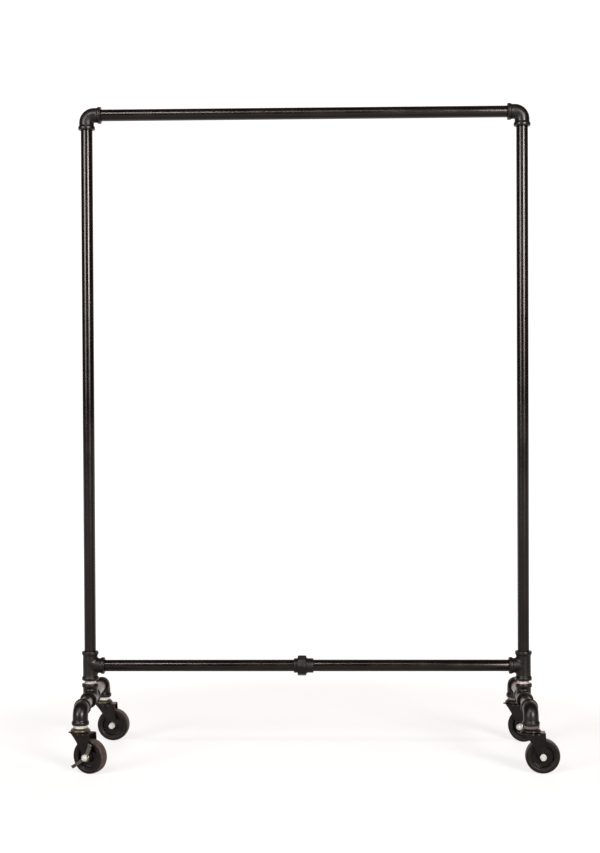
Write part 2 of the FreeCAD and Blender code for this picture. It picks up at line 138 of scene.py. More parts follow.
def make_piece(name, points, faces, sharp_degrees=40):
    """A mesh object at the origin, with its seams welded and its normals pointing outwards."""
    mesh = bpy.data.meshes.new(name)
    mesh.vertices.add(len(points))
    mesh.vertices.foreach_set("co", points.astype(np.float32).ravel())
    mesh.loops.add(faces.size)
    mesh.loops.foreach_set("vertex_index", faces.astype(np.int32).ravel())
    mesh.polygons.add(len(faces))
    mesh.polygons.foreach_set("loop_start", np.arange(0, faces.size, 4, dtype=np.int32))
    mesh.update(calc_edges=True)
    skin = bmesh.new()
    skin.from_mesh(mesh)
    bmesh.ops.remove_doubles(skin, verts=skin.verts, dist=2e-6)
    bmesh.ops.recalc_face_normals(skin, faces=skin.faces)
    skin.to_mesh(mesh)
    skin.free()
    mesh.shade_smooth()
    mesh.set_sharp_from_angle(angle=math.radians(sharp_degrees))
    piece = bpy.data.objects.new(name, mesh)
    bpy.context.collection.objects.link(piece)
    return piece


def stand_for(piece, nodes, body, material):
    """Let a piece take the place of CAD nodes, ride on their body and wear a finish."""
    piece.data.materials.append(material)
    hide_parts(*nodes)
    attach(piece, body)


def make_frame_piece(node, ending, parts, material, sharp_degrees=40):
    """A piece of the pipework in the place of its CAD node, from (points, faces) pairs."""
    piece = make_piece(node + ending, *joined(parts), sharp_degrees)
    stand_for(piece, [node], "frame", material)


# %% [markdown]
# ## Turned surfaces
# Pipes, washers, wheels and domes are all turned on a lathe: a profile of distances and radii is carried
# round an axis. Real edges are never knife sharp, so each corner of a profile gives its own rounding, and
# a small quadratic curve takes the corner's place.

# %% Lathe helpers


def rounded(outline, closed=True, steps=4):
    """Round the corners of an outline of (a, b, rounding).

    Near a corner P with neighbours A and C the line follows (1-t)^2 S + 2t(1-t) P + t^2 E, where S and E
    lie on the two sides, the rounding away from P.
    """
    corners = np.array([point[:2] for point in outline], float)
    radii = np.array([point[2] if len(point) > 2 else 0.0 for point in outline])
    count = len(corners)
    curve = []
    for index in range(count):
        here = corners[index]
        if radii[index] == 0 or (not closed and index in (0, count - 1)):
            curve.append(here[None, :])
            continue
        before = corners[index - 1] - here
        after = corners[(index + 1) % count] - here
        reach_before = min(radii[index], 0.49 * np.linalg.norm(before))
        reach_after = min(radii[index], 0.49 * np.linalg.norm(after))
        start = here + before / np.linalg.norm(before) * reach_before
        end = here + after / np.linalg.norm(after) * reach_after
        t = np.linspace(0, 1, steps + 1)[:, None]
        curve.append((1 - t) ** 2 * start + 2 * t * (1 - t) * here + t ** 2 * end)
    return np.concatenate(curve)


def side_axes(axis):
    """Two directions square to an axis and to each other."""
    axis = np.asarray(axis, float) / np.linalg.norm(axis)
    helper = np.array((0.0, 0.0, 1.0)) if abs(axis[2]) < 0.9 else np.array((1.0, 0.0, 0.0))
    side = np.cross(axis, helper)
    side /= np.linalg.norm(side)
    return axis, side, np.cross(axis, side)


def lathe(profile, origin, axis, segments=AROUND, shape=None):
    """Turned surface: origin + axis * distance + (side cos t + other sin t) * radius.

    shape(angles, distances, radii) may change the radii, for flats or ribs. Returns points and faces.
    """
    axis, side, other = side_axes(axis)
    angles = np.arange(segments) * 2 * np.pi / segments
    distance = profile[:, 0][:, None]
    radius = np.broadcast_to(profile[:, 1][:, None], (len(profile), segments))
    if shape is not None:
        radius = shape(angles[None, :], distance, radius)
    ring = side * np.cos(angles)[:, None] + other * np.sin(angles)[:, None]
    points = np.asarray(origin) + distance[:, :, None] * axis + radius[:, :, None] * ring[None, :, :]
    return points, grid_faces(len(profile), segments, wrap_rows=True)


# %% [markdown]
# ## Finishes: shared effects
# Three effects come back on many pieces, so each is a node group, built once. Grain makes the fine uneven
# skin of cast or rolled iron. Wear lightens exposed edges. Dust lies on what faces up. A group only gives
# out masks and normals; the shader itself stays in each material.

# %% Node helpers


def new_group(name, inputs, outputs):
    """A shader node group with named sockets. inputs and outputs are (name, kind, default)."""
    group = bpy.data.node_groups.new(name, "ShaderNodeTree")
    for socket_name, kind, default in inputs:
        socket = group.interface.new_socket(name=socket_name, in_out="INPUT", socket_type=kind)
        if default is not None:
            socket.default_value = default
    for socket_name, kind in outputs:
        group.interface.new_socket(name=socket_name, in_out="OUTPUT", socket_type=kind)
    return group, group.nodes.new("NodeGroupInput"), group.nodes.new("NodeGroupOutput")


def add(tree, kind, **settings):
    """Add a node, set its properties and its unlinked inputs by name."""
    node = tree.nodes.new(kind)
    for key, value in settings.items():
        if key in node.inputs:
            node.inputs[key].default_value = value
        else:
            setattr(node, key, value)
    return node


def math_node(tree, operation, first, second):
    """A Math node; an argument is a socket or a number."""
    node = add(tree, "ShaderNodeMath", operation=operation)
    for index, value in enumerate((first, second)):
        if isinstance(value, (int, float)):
            node.inputs[index].default_value = value
        else:
            tree.links.new(value, node.inputs[index])
    return node.outputs[0]


def ramp(tree, factor, low, high, low_value=0.0, high_value=1.0):
    """Map a value from low..high to low_value..high_value, smoothly and clamped."""
    node = add(tree, "ShaderNodeMapRange", interpolation_type="SMOOTHSTEP")
    node.inputs["From Min"].default_value = low
    node.inputs["From Max"].default_value = high
    node.inputs["To Min"].default_value = low_value
    node.inputs["To Max"].default_value = high_value
    tree.links.new(factor, node.inputs["Value"])
    return node.outputs["Result"]


def noise(tree, coordinates, scale, detail=3.0, roughness=0.55):
    """Noise of the given scale, in cells to the metre."""
    node = add(tree, "ShaderNodeTexNoise", Scale=scale, Detail=detail, Roughness=roughness)
    tree.links.new(coordinates, node.inputs["Vector"])
    return node.outputs["Fac"]


# %% Scales of the noises, in cells to the metre, and shares
PATCH_SCALE = 14.0
STREAK_SCALE = 60.0
WEAR_SCALE = 220.0
DUST_SCALE = 90.0
SCUFF_SCALE = 160.0
ROLL_SHARE = 0.8                 # the coarse roll's share of the height
STREAK_SHARE = 0.35              # how far a streak goes towards the patch colour


def object_place(tree):
    """The socket that gives a point's place in its object."""
    return add(tree, "ShaderNodeTexCoord").outputs["Object"]


# %% Group: iron skin, the fine grain and slow patches of rolled or cast iron


def make_skin_group():
    """Height and patches from object coordinates.

    Height mixes fine pits and a coarser roll. Patch is a slow mottling, and Streak runs along Z, X or Y
    by the Stretch vector, as drawing and rolling leave it.
    """
    inputs = [
        ("Stretch", "NodeSocketVector", (1.0, 1.0, 1.0)),
        ("Grain Scale", "NodeSocketFloat", 900.0),
        ("Pit Depth", "NodeSocketFloat", 0.5),
        ("Roll Scale", "NodeSocketFloat", 120.0),
    ]
    outputs = [("Height", "NodeSocketFloat"), ("Patch", "NodeSocketFloat"), ("Streak", "NodeSocketFloat")]
    group, entry, exit_node = new_group("iron_skin", inputs, outputs)
    links = group.links
    place = object_place(group)
    stretched = add(group, "ShaderNodeVectorMath", operation="MULTIPLY")
    links.new(place, stretched.inputs[0])
    links.new(entry.outputs["Stretch"], stretched.inputs[1])
    fine = add(group, "ShaderNodeTexNoise", Detail=2.0, Roughness=0.6)
    links.new(place, fine.inputs["Vector"])
    links.new(entry.outputs["Grain Scale"], fine.inputs["Scale"])
    roll = add(group, "ShaderNodeTexNoise", Detail=3.0, Roughness=0.5)
    links.new(place, roll.inputs["Vector"])
    links.new(entry.outputs["Roll Scale"], roll.inputs["Scale"])
    pits = math_node(group, "MULTIPLY", fine.outputs["Fac"], entry.outputs["Pit Depth"])
    height = math_node(group, "ADD", pits, math_node(group, "MULTIPLY", roll.outputs["Fac"], ROLL_SHARE))
    links.new(height, exit_node.inputs["Height"])
    links.new(ramp(group, noise(group, place, PATCH_SCALE, 4.0), 0.35, 0.7), exit_node.inputs["Patch"])
    links.new(ramp(group, noise(group, stretched.outputs[0], STREAK_SCALE, 4.0), 0.42, 0.66),
              exit_node.inputs["Streak"])
    return group


SKIN = make_skin_group()

# %% Group: edge wear, where the shape is sharpest


def make_wear_group():
    """Wear is high where the surface is sharply convex, broken up by noise."""
    inputs = [("Amount", "NodeSocketFloat", 1.0)]
    group, entry, exit_node = new_group("edge_wear", inputs, [("Wear", "NodeSocketFloat")])
    links = group.links
    geometry = add(group, "ShaderNodeNewGeometry")
    place = object_place(group)
    edge = ramp(group, geometry.outputs["Pointiness"], 0.52, 0.62)
    broken = ramp(group, noise(group, place, WEAR_SCALE, 5.0), 0.38, 0.6)
    mask = math_node(group, "MULTIPLY", edge, broken)
    amount = math_node(group, "MULTIPLY", mask, entry.outputs["Amount"])
    links.new(amount, exit_node.inputs["Wear"])
    return group


WEAR = make_wear_group()

# %% Group: dust, thin and pale on what faces up


def make_dust_group():
    """Dust is the upward part of the normal, times a cloudy noise."""
    inputs = [("Amount", "NodeSocketFloat", 0.3)]
    group, entry, exit_node = new_group("dust", inputs, [("Dust", "NodeSocketFloat")])
    links = group.links
    geometry = add(group, "ShaderNodeNewGeometry")
    split = add(group, "ShaderNodeSeparateXYZ")
    links.new(geometry.outputs["Normal"], split.inputs[0])
    place = object_place(group)
    upward = ramp(group, split.outputs["Z"], 0.45, 1.0)
    cloudy = ramp(group, noise(group, place, DUST_SCALE, 5.0), 0.35, 0.75)
    mask = math_node(group, "MULTIPLY", upward, cloudy)
    links.new(math_node(group, "MULTIPLY", mask, entry.outputs["Amount"]), exit_node.inputs["Dust"])
    return group


DUST = make_dust_group()
print("groups:", [group.name for group in bpy.data.node_groups])

# %% [markdown]
# ## Finishes: the materials
# One function mixes a metal or polymer from a base colour, a second colour for its patches, worn edges and
# dust. Each finish then only states its own values: colour, roughness, how deep its grain is. The tyre also
# gets a scuffed colour where its mesh says that it is tread.

# %% A material from its values


def mix_colour(tree, factor, first, second):
    """Mix two colours; each is a socket or a value."""
    node = add(tree, "ShaderNodeMix", data_type="RGBA")
    tree.links.new(factor, node.inputs["Factor"])
    for socket, value in ((node.inputs[6], first), (node.inputs[7], second)):
        if isinstance(value, tuple):
            socket.default_value = (*value, 1.0)
        else:
            tree.links.new(value, socket)
    return node.outputs[2]


def make_finish(name, colour, patch_colour, worn_colour, roughness, metallic=0.0, specular=0.5,
                stretch=(1, 1, 1), grain=900.0, pit=0.5, roll=120.0, bump=0.1, bump_distance=0.0003,
                wear=0.5, dust=0.1, dust_colour=(0.2, 0.18, 0.165), rough_change=0.12):
    """A Principled material whose colour, roughness and normal vary over the surface."""
    material = bpy.data.materials.new(name)
    material.use_nodes = True
    tree = material.node_tree
    shader = tree.nodes["Principled BSDF"]
    skin = add(tree, "ShaderNodeGroup", node_tree=SKIN)
    skin.inputs["Stretch"].default_value = stretch
    skin.inputs["Grain Scale"].default_value = grain
    skin.inputs["Pit Depth"].default_value = pit
    skin.inputs["Roll Scale"].default_value = roll
    worn = add(tree, "ShaderNodeGroup", node_tree=WEAR)
    worn.inputs["Amount"].default_value = wear
    dusty = add(tree, "ShaderNodeGroup", node_tree=DUST)
    dusty.inputs["Amount"].default_value = dust
    base = mix_colour(tree, skin.outputs["Patch"], colour, patch_colour)
    streak = math_node(tree, "MULTIPLY", skin.outputs["Streak"], STREAK_SHARE)
    streaked = mix_colour(tree, streak, base, patch_colour)
    edged = mix_colour(tree, worn.outputs["Wear"], streaked, worn_colour)
    dusted = mix_colour(tree, dusty.outputs["Dust"], edged, dust_colour)
    tree.links.new(dusted, shader.inputs["Base Color"])
    uneven = math_node(tree, "ADD", skin.outputs["Patch"], skin.outputs["Streak"])
    rough = ramp(tree, math_node(tree, "ADD", uneven, dusty.outputs["Dust"]), 0.0, 2.0,
                 roughness - rough_change / 2, roughness + rough_change)
    tree.links.new(rough, shader.inputs["Roughness"])
    raised = add(tree, "ShaderNodeBump", Strength=bump, Distance=bump_distance)
    tree.links.new(skin.outputs["Height"], raised.inputs["Height"])
    tree.links.new(raised.outputs["Normal"], shader.inputs["Normal"])
    shader.inputs["Metallic"].default_value = metallic
    shader.inputs["Specular IOR Level"].default_value = specular
    return material


# %% The finishes of this rack
PIPE_DARK = (0.0028, 0.0012, 0.001)
PIPE_BROWN = (0.0065, 0.0034, 0.0028)
PIPE_WORN = (0.05, 0.04, 0.035)
# Paler, browner copies of the pipe colours for the foot nipples: painted sheen standing in for the bright
# reflections on their sides.
FOOT_DARK_PAINTED_SHEEN = (0.014, 0.0085, 0.0075)
FOOT_BROWN_PAINTED_SHEEN = (0.04, 0.026, 0.023)


def pipe_finish(name, stretch, dark=PIPE_DARK, brown=PIPE_BROWN):
    """Black mill finish, oiled: dark brown-black and glossy, with faint streaks along the pipe."""
    return make_finish(name, dark, brown, PIPE_WORN, 0.22, specular=0.45,
                       stretch=stretch, grain=1500.0, pit=0.35, roll=260.0, bump=0.06, wear=0.1, dust=0.0,
                       rough_change=0.08)


PIPE_X = pipe_finish("black_pipe_along_x", (0.06, 1, 1))
# The foot nipples' pipe wears the paler colours, a painted sheen.
PIPE_Y_PAINTED_SHEEN = pipe_finish("black_pipe_along_y_painted_sheen", (1, 0.06, 1), FOOT_DARK_PAINTED_SHEEN, FOOT_BROWN_PAINTED_SHEEN)
PIPE_Z = pipe_finish("black_pipe_along_z", (1, 1, 0.06))
CAST = make_finish("cast_fitting", (0.003, 0.0018, 0.0015), (0.008, 0.005, 0.0042), (0.05, 0.04, 0.036), 0.36,
                   specular=0.42, grain=1100.0, pit=1.0, roll=300.0, bump=0.12, wear=0.25, dust=0.02)
# Cut threads are bare steel, paler than the black pipe; their near-white colour is partly a painted highlight
# for the glints on the crests.
THREAD = make_finish("cut_thread", (0.86, 0.81, 0.78), (0.6, 0.52, 0.49), (0.95, 0.92, 0.9), 0.36,
                     metallic=0.4, grain=1400.0, bump=0.06, wear=0.6, dust=0.0)
ZINC = make_finish("zinc_plate", (0.8, 0.79, 0.76), (0.7, 0.69, 0.66), (0.9, 0.9, 0.88), 0.36,
                   metallic=0.45, grain=1300.0, pit=0.4, roll=200.0, bump=0.06, wear=0.3, dust=0.0)
# Darker copies of the zinc and race finishes, used on the two right-hand castors.
DARKER_ZINC = make_finish("darker_zinc", (0.3, 0.255, 0.24), (0.2, 0.16, 0.15), (0.85, 0.82, 0.8), 0.3,
                        metallic=0.7, grain=1300.0, pit=0.6, roll=160.0, bump=0.1, wear=1.0, dust=0.0)
RACE = make_finish("race_plate", (0.15, 0.13, 0.09), (0.08, 0.067, 0.045), (0.5, 0.46, 0.38), 0.34,
                   metallic=0.6, grain=1200.0, bump=0.06, wear=0.4, dust=0.0)
DARKER_RACE = make_finish("dark_race_plate", (0.03, 0.023, 0.02), (0.015, 0.011, 0.01), (0.3, 0.26, 0.24), 0.34,
                        metallic=0.5, grain=1200.0, bump=0.06, wear=0.5, dust=0.0)
STAMPED = make_finish("castor_paint", (0.003, 0.0018, 0.0016), (0.007, 0.0045, 0.004), (0.12, 0.1, 0.09), 0.3,
                      specular=0.3, grain=1000.0, pit=0.5, roll=240.0, bump=0.06, wear=0.4, dust=0.02)
LEVER = make_finish("lever_steel", (0.2, 0.18, 0.165), (0.1, 0.085, 0.078), (0.85, 0.8, 0.76), 0.26,
                    metallic=0.85, grain=1000.0, pit=0.5, roll=240.0, bump=0.06, wear=1.0, dust=0.0)
CORE = make_finish("moulded_core", (0.003, 0.0022, 0.002), (0.006, 0.0045, 0.004), (0.04, 0.03, 0.025), 0.32,
                   specular=0.35, grain=1400.0, pit=0.6, roll=180.0, bump=0.05, wear=0.3, dust=0.05)
TYRE = make_finish("hard_tyre", (0.0045, 0.0032, 0.0028), (0.009, 0.0065, 0.0055), (0.05, 0.04, 0.034), 0.45,
                   specular=0.25, grain=1300.0, pit=0.8, roll=150.0, bump=0.08, wear=0.4, dust=0.1)
BALL_STEEL = make_finish("ball_steel", (0.6, 0.6, 0.6), (0.5, 0.49, 0.47), (0.8, 0.8, 0.8), 0.2,
                         metallic=1.0, grain=2000.0, bump=0.02, wear=0.0, dust=0.0)


def scuff_tread(material, colour):
    """Lay a scuffed colour over the material where the mesh's tread attribute is high."""
    tree = material.node_tree
    shader = tree.nodes["Principled BSDF"]
    under = shader.inputs["Base Color"].links[0].from_socket
    tread = add(tree, "ShaderNodeAttribute", attribute_name="tread").outputs["Fac"]
    scuffs = ramp(tree, noise(tree, object_place(tree), SCUFF_SCALE, 5.0), 0.25, 0.6, 0.55, 1.0)
    cover = math_node(tree, "MULTIPLY", tread, scuffs)
    tree.links.new(mix_colour(tree, cover, under, colour), shader.inputs["Base Color"])


SCUFFED = (0.085, 0.058, 0.05)
scuff_tread(TYRE, SCUFFED)
print("finishes:", [material.name for material in bpy.data.materials if material.use_nodes])

# %% [markdown]
# ## Pipes
# A pipe is the simplest turned piece: its profile goes out along the outside and back along the bore. The
# ends are chamfered as a pipe cutter leaves them.

# %% Make the nine pipes


def pipe_profile(length):
    """Outside, chamfered end, bore and back, from 0 to length."""
    bore = PIPE_RADIUS - PIPE_WALL
    outline = [
        (0, PIPE_RADIUS, 0.8 * MM),
        (length, PIPE_RADIUS, 0.8 * MM),
        (length, bore, 0.5 * MM),
        (0, bore, 0.5 * MM),
    ]
    return rounded(outline, steps=3)


def make_pipe(node, direction, material):
    """A pipe in the place of its CAD node."""
    direction = np.array(direction, float)
    low, high = node_box(node)
    length = float(np.abs((high - low) @ direction))
    start = (low + high) / 2 - direction * length / 2
    make_frame_piece(node, "_pipe", [lathe(pipe_profile(length), start, direction)], material)
    print(node, "length", round(length / MM, 1), "mm")


for pipe_node in ("top_rail", "low_rail_left", "low_rail_right"):
    make_pipe(pipe_node, (1, 0, 0), PIPE_X)
for side_name in SIDES:
    make_pipe("upright_" + side_name, (0, 0, 1), PIPE_Z)
for corner_name in CORNERS:
    make_pipe("foot_nipple_" + corner_name, (0, 1, 0), PIPE_Y_PAINTED_SHEEN)

# %% [markdown]
# ## Fittings: one arm
# Every arm of an elbow or a tee has the same profile: a plain neck, a raised bead round the mouth, a small
# countersink, the socket that takes the pipe, and the narrower passage behind it. The profile is a curve of
# (distance from the centre, radius), and the two fitting shapes only differ in how the necks meet.

# %% The profile of an arm


def arm_profile(begin_outside, begin_inside):
    """Out along the neck, round the bead, and back in along the socket, for one arm."""
    bead_begin = FITTING_REACH - BEAD_WIDTH
    rise = BEAD_RADIUS - BODY_RADIUS
    mouth = PIPE_RADIUS + 0.5 * MM
    socket = FITTING_REACH - SOCKET_DEPTH
    outline = [
        (begin_outside, BODY_RADIUS),
        (bead_begin - 1.4 * rise, BODY_RADIUS, 1.6 * MM),
        (bead_begin, BEAD_RADIUS, 1.6 * MM),
        (FITTING_REACH, BEAD_RADIUS - 0.3 * MM, 1.6 * MM),
        (FITTING_REACH, mouth, 0.4 * MM),
        (FITTING_REACH - 1.0 * MM, PIPE_RADIUS),
        (socket, PIPE_RADIUS),
        (socket, PASSAGE_RADIUS),
        (begin_inside, PASSAGE_RADIUS),
    ]
    return rounded(outline, closed=False, steps=5)


print("arm profile:", len(arm_profile(ELBOW_BEND, ELBOW_BEND)), "points")

# %% [markdown]
# ## Elbows
# An elbow is a ring of points carried along an L: straight, a quarter turn, straight. The outside goes
# there and the passage comes back, so that the grid closes on itself both ways and needs no caps.

# %% Make the six elbows
BEND_STEPS = 20


def elbow_points(centre, first, second):
    """Grid of an elbow with arms along the unit vectors first and second.

    On the bend, at angle a, the middle of the ring is T - (second cos a + first sin a) * bend, where T is
    the centre of the turn. On the arms a is 0 or 90 degrees, and the ring slides along the arm.
    """
    first, second = np.asarray(first, float), np.asarray(second, float)
    binormal = np.cross(first, second)
    arm = arm_profile(ELBOW_BEND, ELBOW_BEND)
    turn = np.linspace(0, np.pi / 2, BEND_STEPS + 1)[1:-1]
    out_and_in = arm[::-1]
    slide = np.concatenate([out_and_in[:, 0], np.zeros(len(turn)), arm[:, 0], np.zeros(len(turn))])
    radius = np.concatenate([
        out_and_in[:, 1],
        np.full(len(turn), BODY_RADIUS),
        arm[:, 1],
        np.full(len(turn), PASSAGE_RADIUS),
    ])
    angle = np.concatenate([np.zeros(len(arm)), turn, np.full(len(arm), np.pi / 2), turn[::-1]])
    on_first = np.concatenate([np.ones(len(arm)), np.zeros(2 * len(turn) + len(arm))])
    on_second = np.concatenate([np.zeros(len(arm) + len(turn)), np.ones(len(arm)), np.zeros(len(turn))])
    outward = -(np.cos(angle)[:, None] * second + np.sin(angle)[:, None] * first)
    bent = (first + second) * ELBOW_BEND + outward * ELBOW_BEND
    straight = on_first[:, None] * slide[:, None] * first + on_second[:, None] * slide[:, None] * second
    middle = np.where((on_first + on_second)[:, None] > 0, straight, bent)
    t = np.arange(AROUND) * 2 * np.pi / AROUND
    ring = np.cos(t)[None, :, None] * outward[:, None, :] + np.sin(t)[None, :, None] * binormal
    return centre + middle[:, None, :] + radius[:, None, None] * ring


def make_elbow(node, centre, first, second):
    """An elbow in the place of its CAD node."""
    points = elbow_points(np.array(centre), first, second)
    faces = grid_faces(points.shape[0], AROUND, wrap_rows=True)
    make_frame_piece(node, "_casting", [(points, faces)], CAST)


for side_name, inward in (("left", 1), ("right", -1)):
    make_elbow("top_elbow_" + side_name, (UPRIGHT_X[side_name], 0, TOP_RAIL_Z), (inward, 0, 0), (0, 0, -1))
for corner_name in CORNERS:
    corner_x, corner_y, _ = KINGPIN[corner_name]
    make_elbow("foot_elbow_" + corner_name, (corner_x, corner_y, BASE_Z), (0, -np.sign(corner_y), 0),
               (0, 0, -1))
print("elbows made:", 2 + len(CORNERS))

# %% [markdown]
# ## Tees
# Three necks of one size meet in a tee. Two equal round necks at a right angle cross along a mitre line,
# so each arm can be its own grid that starts on that line. A cast tee isn't sharp there: its crotch is
# filled by a fillet, which fades out round the sides, where the necks run into each other smoothly.

# %% Make the four tees
FILLET = 4.5 * MM
FILLET_STEPS = 6


def tee_arm(centre, along, across, up, is_branch):
    """Grid of one arm of a tee.

    along points out of the arm, and up points to the branch (for the branch itself, up is the run). With
    t the angle from up, the mitre lies at a distance of radius * c, where c is |cos t| on the branch and
    the positive part of cos t on the run. The fillet of radius F adds c F (1 - cos a) to the radius and
    c^2 F (1 - sin a) to the distance, for a from 45 degrees down to 0.
    """
    t = (np.arange(AROUND) * 2 * np.pi / AROUND)[None, :]
    closeness = np.abs(np.cos(t)) if is_branch else np.maximum(np.cos(t), 0)
    share = np.linspace(0, 1, FILLET_STEPS + 1)[:, None]
    angle = (1 - share) * np.pi / 4
    filled_distance = (
        BODY_RADIUS * closeness
        + closeness ** 2 * FILLET * (1 - np.sin(angle))
        + (1 - closeness ** 2) * FILLET * share
    )
    filled_radius = BODY_RADIUS + closeness * FILLET * (1 - np.cos(angle))
    profile = arm_profile(BODY_RADIUS + FILLET + 0.5 * MM, PASSAGE_RADIUS + 0.5 * MM)
    plain_distance = np.broadcast_to(profile[:, :1], (len(profile), AROUND))
    plain_radius = np.broadcast_to(profile[:, 1:], (len(profile), AROUND))
    inner_distance = PASSAGE_RADIUS * closeness
    inner_radius = np.full_like(inner_distance, PASSAGE_RADIUS)
    distance = np.concatenate([filled_distance, plain_distance, inner_distance])
    radius = np.concatenate([filled_radius, plain_radius, inner_radius])
    along, across, up = (np.asarray(v, float) for v in (along, across, up))
    ring = np.cos(t)[..., None] * up + np.sin(t)[..., None] * across
    return centre + distance[..., None] * along + radius[..., None] * ring


def make_tee(node, centre, run, branch):
    """A tee in the place of its CAD node: two arms along the run and one along the branch."""
    run, branch = np.asarray(run, float), np.asarray(branch, float)
    across = np.cross(run, branch)
    arms = [
        tee_arm(np.array(centre), run, across, branch, False),
        tee_arm(np.array(centre), -run, across, branch, False),
        tee_arm(np.array(centre), branch, across, run, True),
    ]
    parts = [(points, grid_faces(points.shape[0], AROUND)) for points in arms]
    make_frame_piece(node, "_casting", parts, CAST)


for side_name, inward in (("left", 1), ("right", -1)):
    x = UPRIGHT_X[side_name]
    make_tee("rail_tee_" + side_name, (x, 0, LOW_RAIL_Z), (0, 0, 1), (inward, 0, 0))
    make_tee("base_tee_" + side_name, (x, 0, BASE_Z), (0, 1, 0), (0, 0, 1))
print("tees made: 4")

# %% [markdown]
# ## Threads
# A screw thread is a ridge that climbs by one pitch on each turn. On a grid of (distance s, angle t) its
# phase is s / pitch - t / 2 pi, and the depth is a rounded triangle wave of that phase.

# %% Make the two close nipples
THREAD_PITCH = 1.814 * MM
THREAD_DEPTH = 1.1 * MM
ROWS_PER_PITCH = 12


def thread_shape(pitch, depth, crest_radius):
    """Shape for lathe: rows at the crest radius get a thread cut into them."""

    def cut(angles, distances, radii):
        """Radius = crest - depth * w, where w = clamp(|2 frac(phase) - 1| * 1.25 - 0.125)."""
        phase = distances / pitch - angles / (2 * np.pi)
        wave = np.clip(np.abs(2 * (phase % 1) - 1) * 1.25 - 0.125, 0, 1)
        return np.where(radii > crest_radius - 1e-6, radii - depth * wave, radii)

    return cut


def threaded_profile(length, radius, bore, pitch):
    """A tube whose outside has enough rows to carry a thread."""
    rows = int(length / pitch * ROWS_PER_PITCH)
    outside = np.stack([np.linspace(0, length, rows), np.full(rows, radius)], axis=1)
    inside = np.array([(length, bore), (0, bore)])
    return np.concatenate([outside, inside])


for side_name in SIDES:
    nipple_node = "close_nipple_" + side_name
    nipple_low, nipple_high = node_box(nipple_node)
    nipple_profile = threaded_profile(
        nipple_high[2] - nipple_low[2], PIPE_RADIUS, PIPE_RADIUS - PIPE_WALL, THREAD_PITCH
    )
    nipple_start = (UPRIGHT_X[side_name], 0, nipple_low[2])
    nipple_skin = lathe(nipple_profile, nipple_start, (0, 0, 1),
                        shape=thread_shape(THREAD_PITCH, THREAD_DEPTH, PIPE_RADIUS))
    make_frame_piece(nipple_node, "_thread", [nipple_skin], THREAD, sharp_degrees=60)
print("threads: rows per pitch", ROWS_PER_PITCH)

# %% [markdown]
# ## The union
# A union joins two pipes that can't be turned. Its nut is a prism with eight flats. A turned blank cut by
# flats has the smaller of two radii at each point: that of the blank, and apothem / cos(u), where u is the
# angle from the middle of the nearest flat. The chamfer on the blank then leaves the curved edges that
# every nut has.

# %% Make the union's three pieces


def flats(count, across_flats, corner_rounding=0.0):
    """Shape for lathe: a blank cut down to a prism with slightly blunt corners."""

    def cut(angles, distances, radii):
        """Radius = min(blank, apothem / cos(angle from the middle of the flat))."""
        step = 2 * np.pi / count
        from_middle = (angles % step) - step / 2
        corner = across_flats / 2 / math.cos(step / 2) - corner_rounding
        return np.minimum(radii, np.minimum(across_flats / 2 / np.cos(from_middle), corner))

    return cut


def blank(low, high, outer, bore, chamfer_out, chamfer_along, rows=8):
    """Profile of a turned blank from low to high with chamfered ends, and a bore."""
    rise = np.linspace(0, 1, rows)
    start = np.stack([low + chamfer_along * rise, outer - chamfer_out * (1 - rise)], axis=1)
    end = np.stack([high - chamfer_along * rise[::-1], outer - chamfer_out * (1 - rise[::-1])], axis=1)
    edge = 0.3 * MM
    bore_end = np.array([(high, bore + edge), (high - edge, bore), (low + edge, bore), (low, bore + edge)])
    return np.concatenate([start, end, bore_end])


UNION_LOW, UNION_HIGH = node_box("union_tail")[0], node_box("union_head")[1]
NUT_LOW, NUT_HIGH = node_box("union_nut")
UNION_START = np.array((UNION_LOW[0], 0, LOW_RAIL_Z))
NUT_FROM = float(NUT_LOW[0] - UNION_LOW[0])
NUT_TO = float(NUT_HIGH[0] - UNION_LOW[0])
UNION_LENGTH = float(UNION_HIGH[0] - UNION_LOW[0])
NUT_FLATS = float(NUT_HIGH[1] - NUT_LOW[1])
COLLAR_RADIUS = PIPE_RADIUS + 3.2 * MM
NECK_RADIUS = PIPE_RADIUS + 2.9 * MM
SEAT_RADIUS = NECK_RADIUS + 1.8 * MM
NUT_LIP = 5.0 * MM
SEAT_END = NUT_FROM + NUT_LIP + 6.0 * MM
NUT_GAP = 0.2 * MM               # between the tail's collar and the nut
HEAD_STEP = 2.0 * MM             # from the nut to the head's collar
NUT_CHAMFER = 2.4 * MM
ENGAGED = 13.0 * MM

tail_outline = [
    (0, PIPE_RADIUS, 0.5 * MM),
    (0, COLLAR_RADIUS, 1.2 * MM),
    (NUT_FROM - NUT_GAP, COLLAR_RADIUS, 0.4 * MM),
    (NUT_FROM - NUT_GAP, NECK_RADIUS),
    (NUT_FROM + NUT_LIP, NECK_RADIUS),
    (NUT_FROM + NUT_LIP, SEAT_RADIUS, 0.3 * MM),
    (SEAT_END, SEAT_RADIUS, 0.3 * MM),
    (SEAT_END, PASSAGE_RADIUS),
    (ENGAGED, PASSAGE_RADIUS),
    (ENGAGED, PIPE_RADIUS),
]
tail_skin = lathe(rounded(tail_outline), UNION_START, (1, 0, 0))
make_frame_piece("union_tail", "_casting", [tail_skin], CAST)

head_outline = [
    (SEAT_END, PASSAGE_RADIUS),
    (SEAT_END, SEAT_RADIUS, 0.3 * MM),
    (NUT_TO + HEAD_STEP, SEAT_RADIUS),
    (NUT_TO + HEAD_STEP, COLLAR_RADIUS, 0.5 * MM),
    (UNION_LENGTH, COLLAR_RADIUS, 1.2 * MM),
    (UNION_LENGTH, PIPE_RADIUS, 0.5 * MM),
    (UNION_LENGTH - ENGAGED, PIPE_RADIUS),
    (UNION_LENGTH - ENGAGED, PASSAGE_RADIUS),
]
head_skin = lathe(rounded(head_outline), UNION_START, (1, 0, 0))
make_frame_piece("union_head", "_casting", [head_skin], CAST)

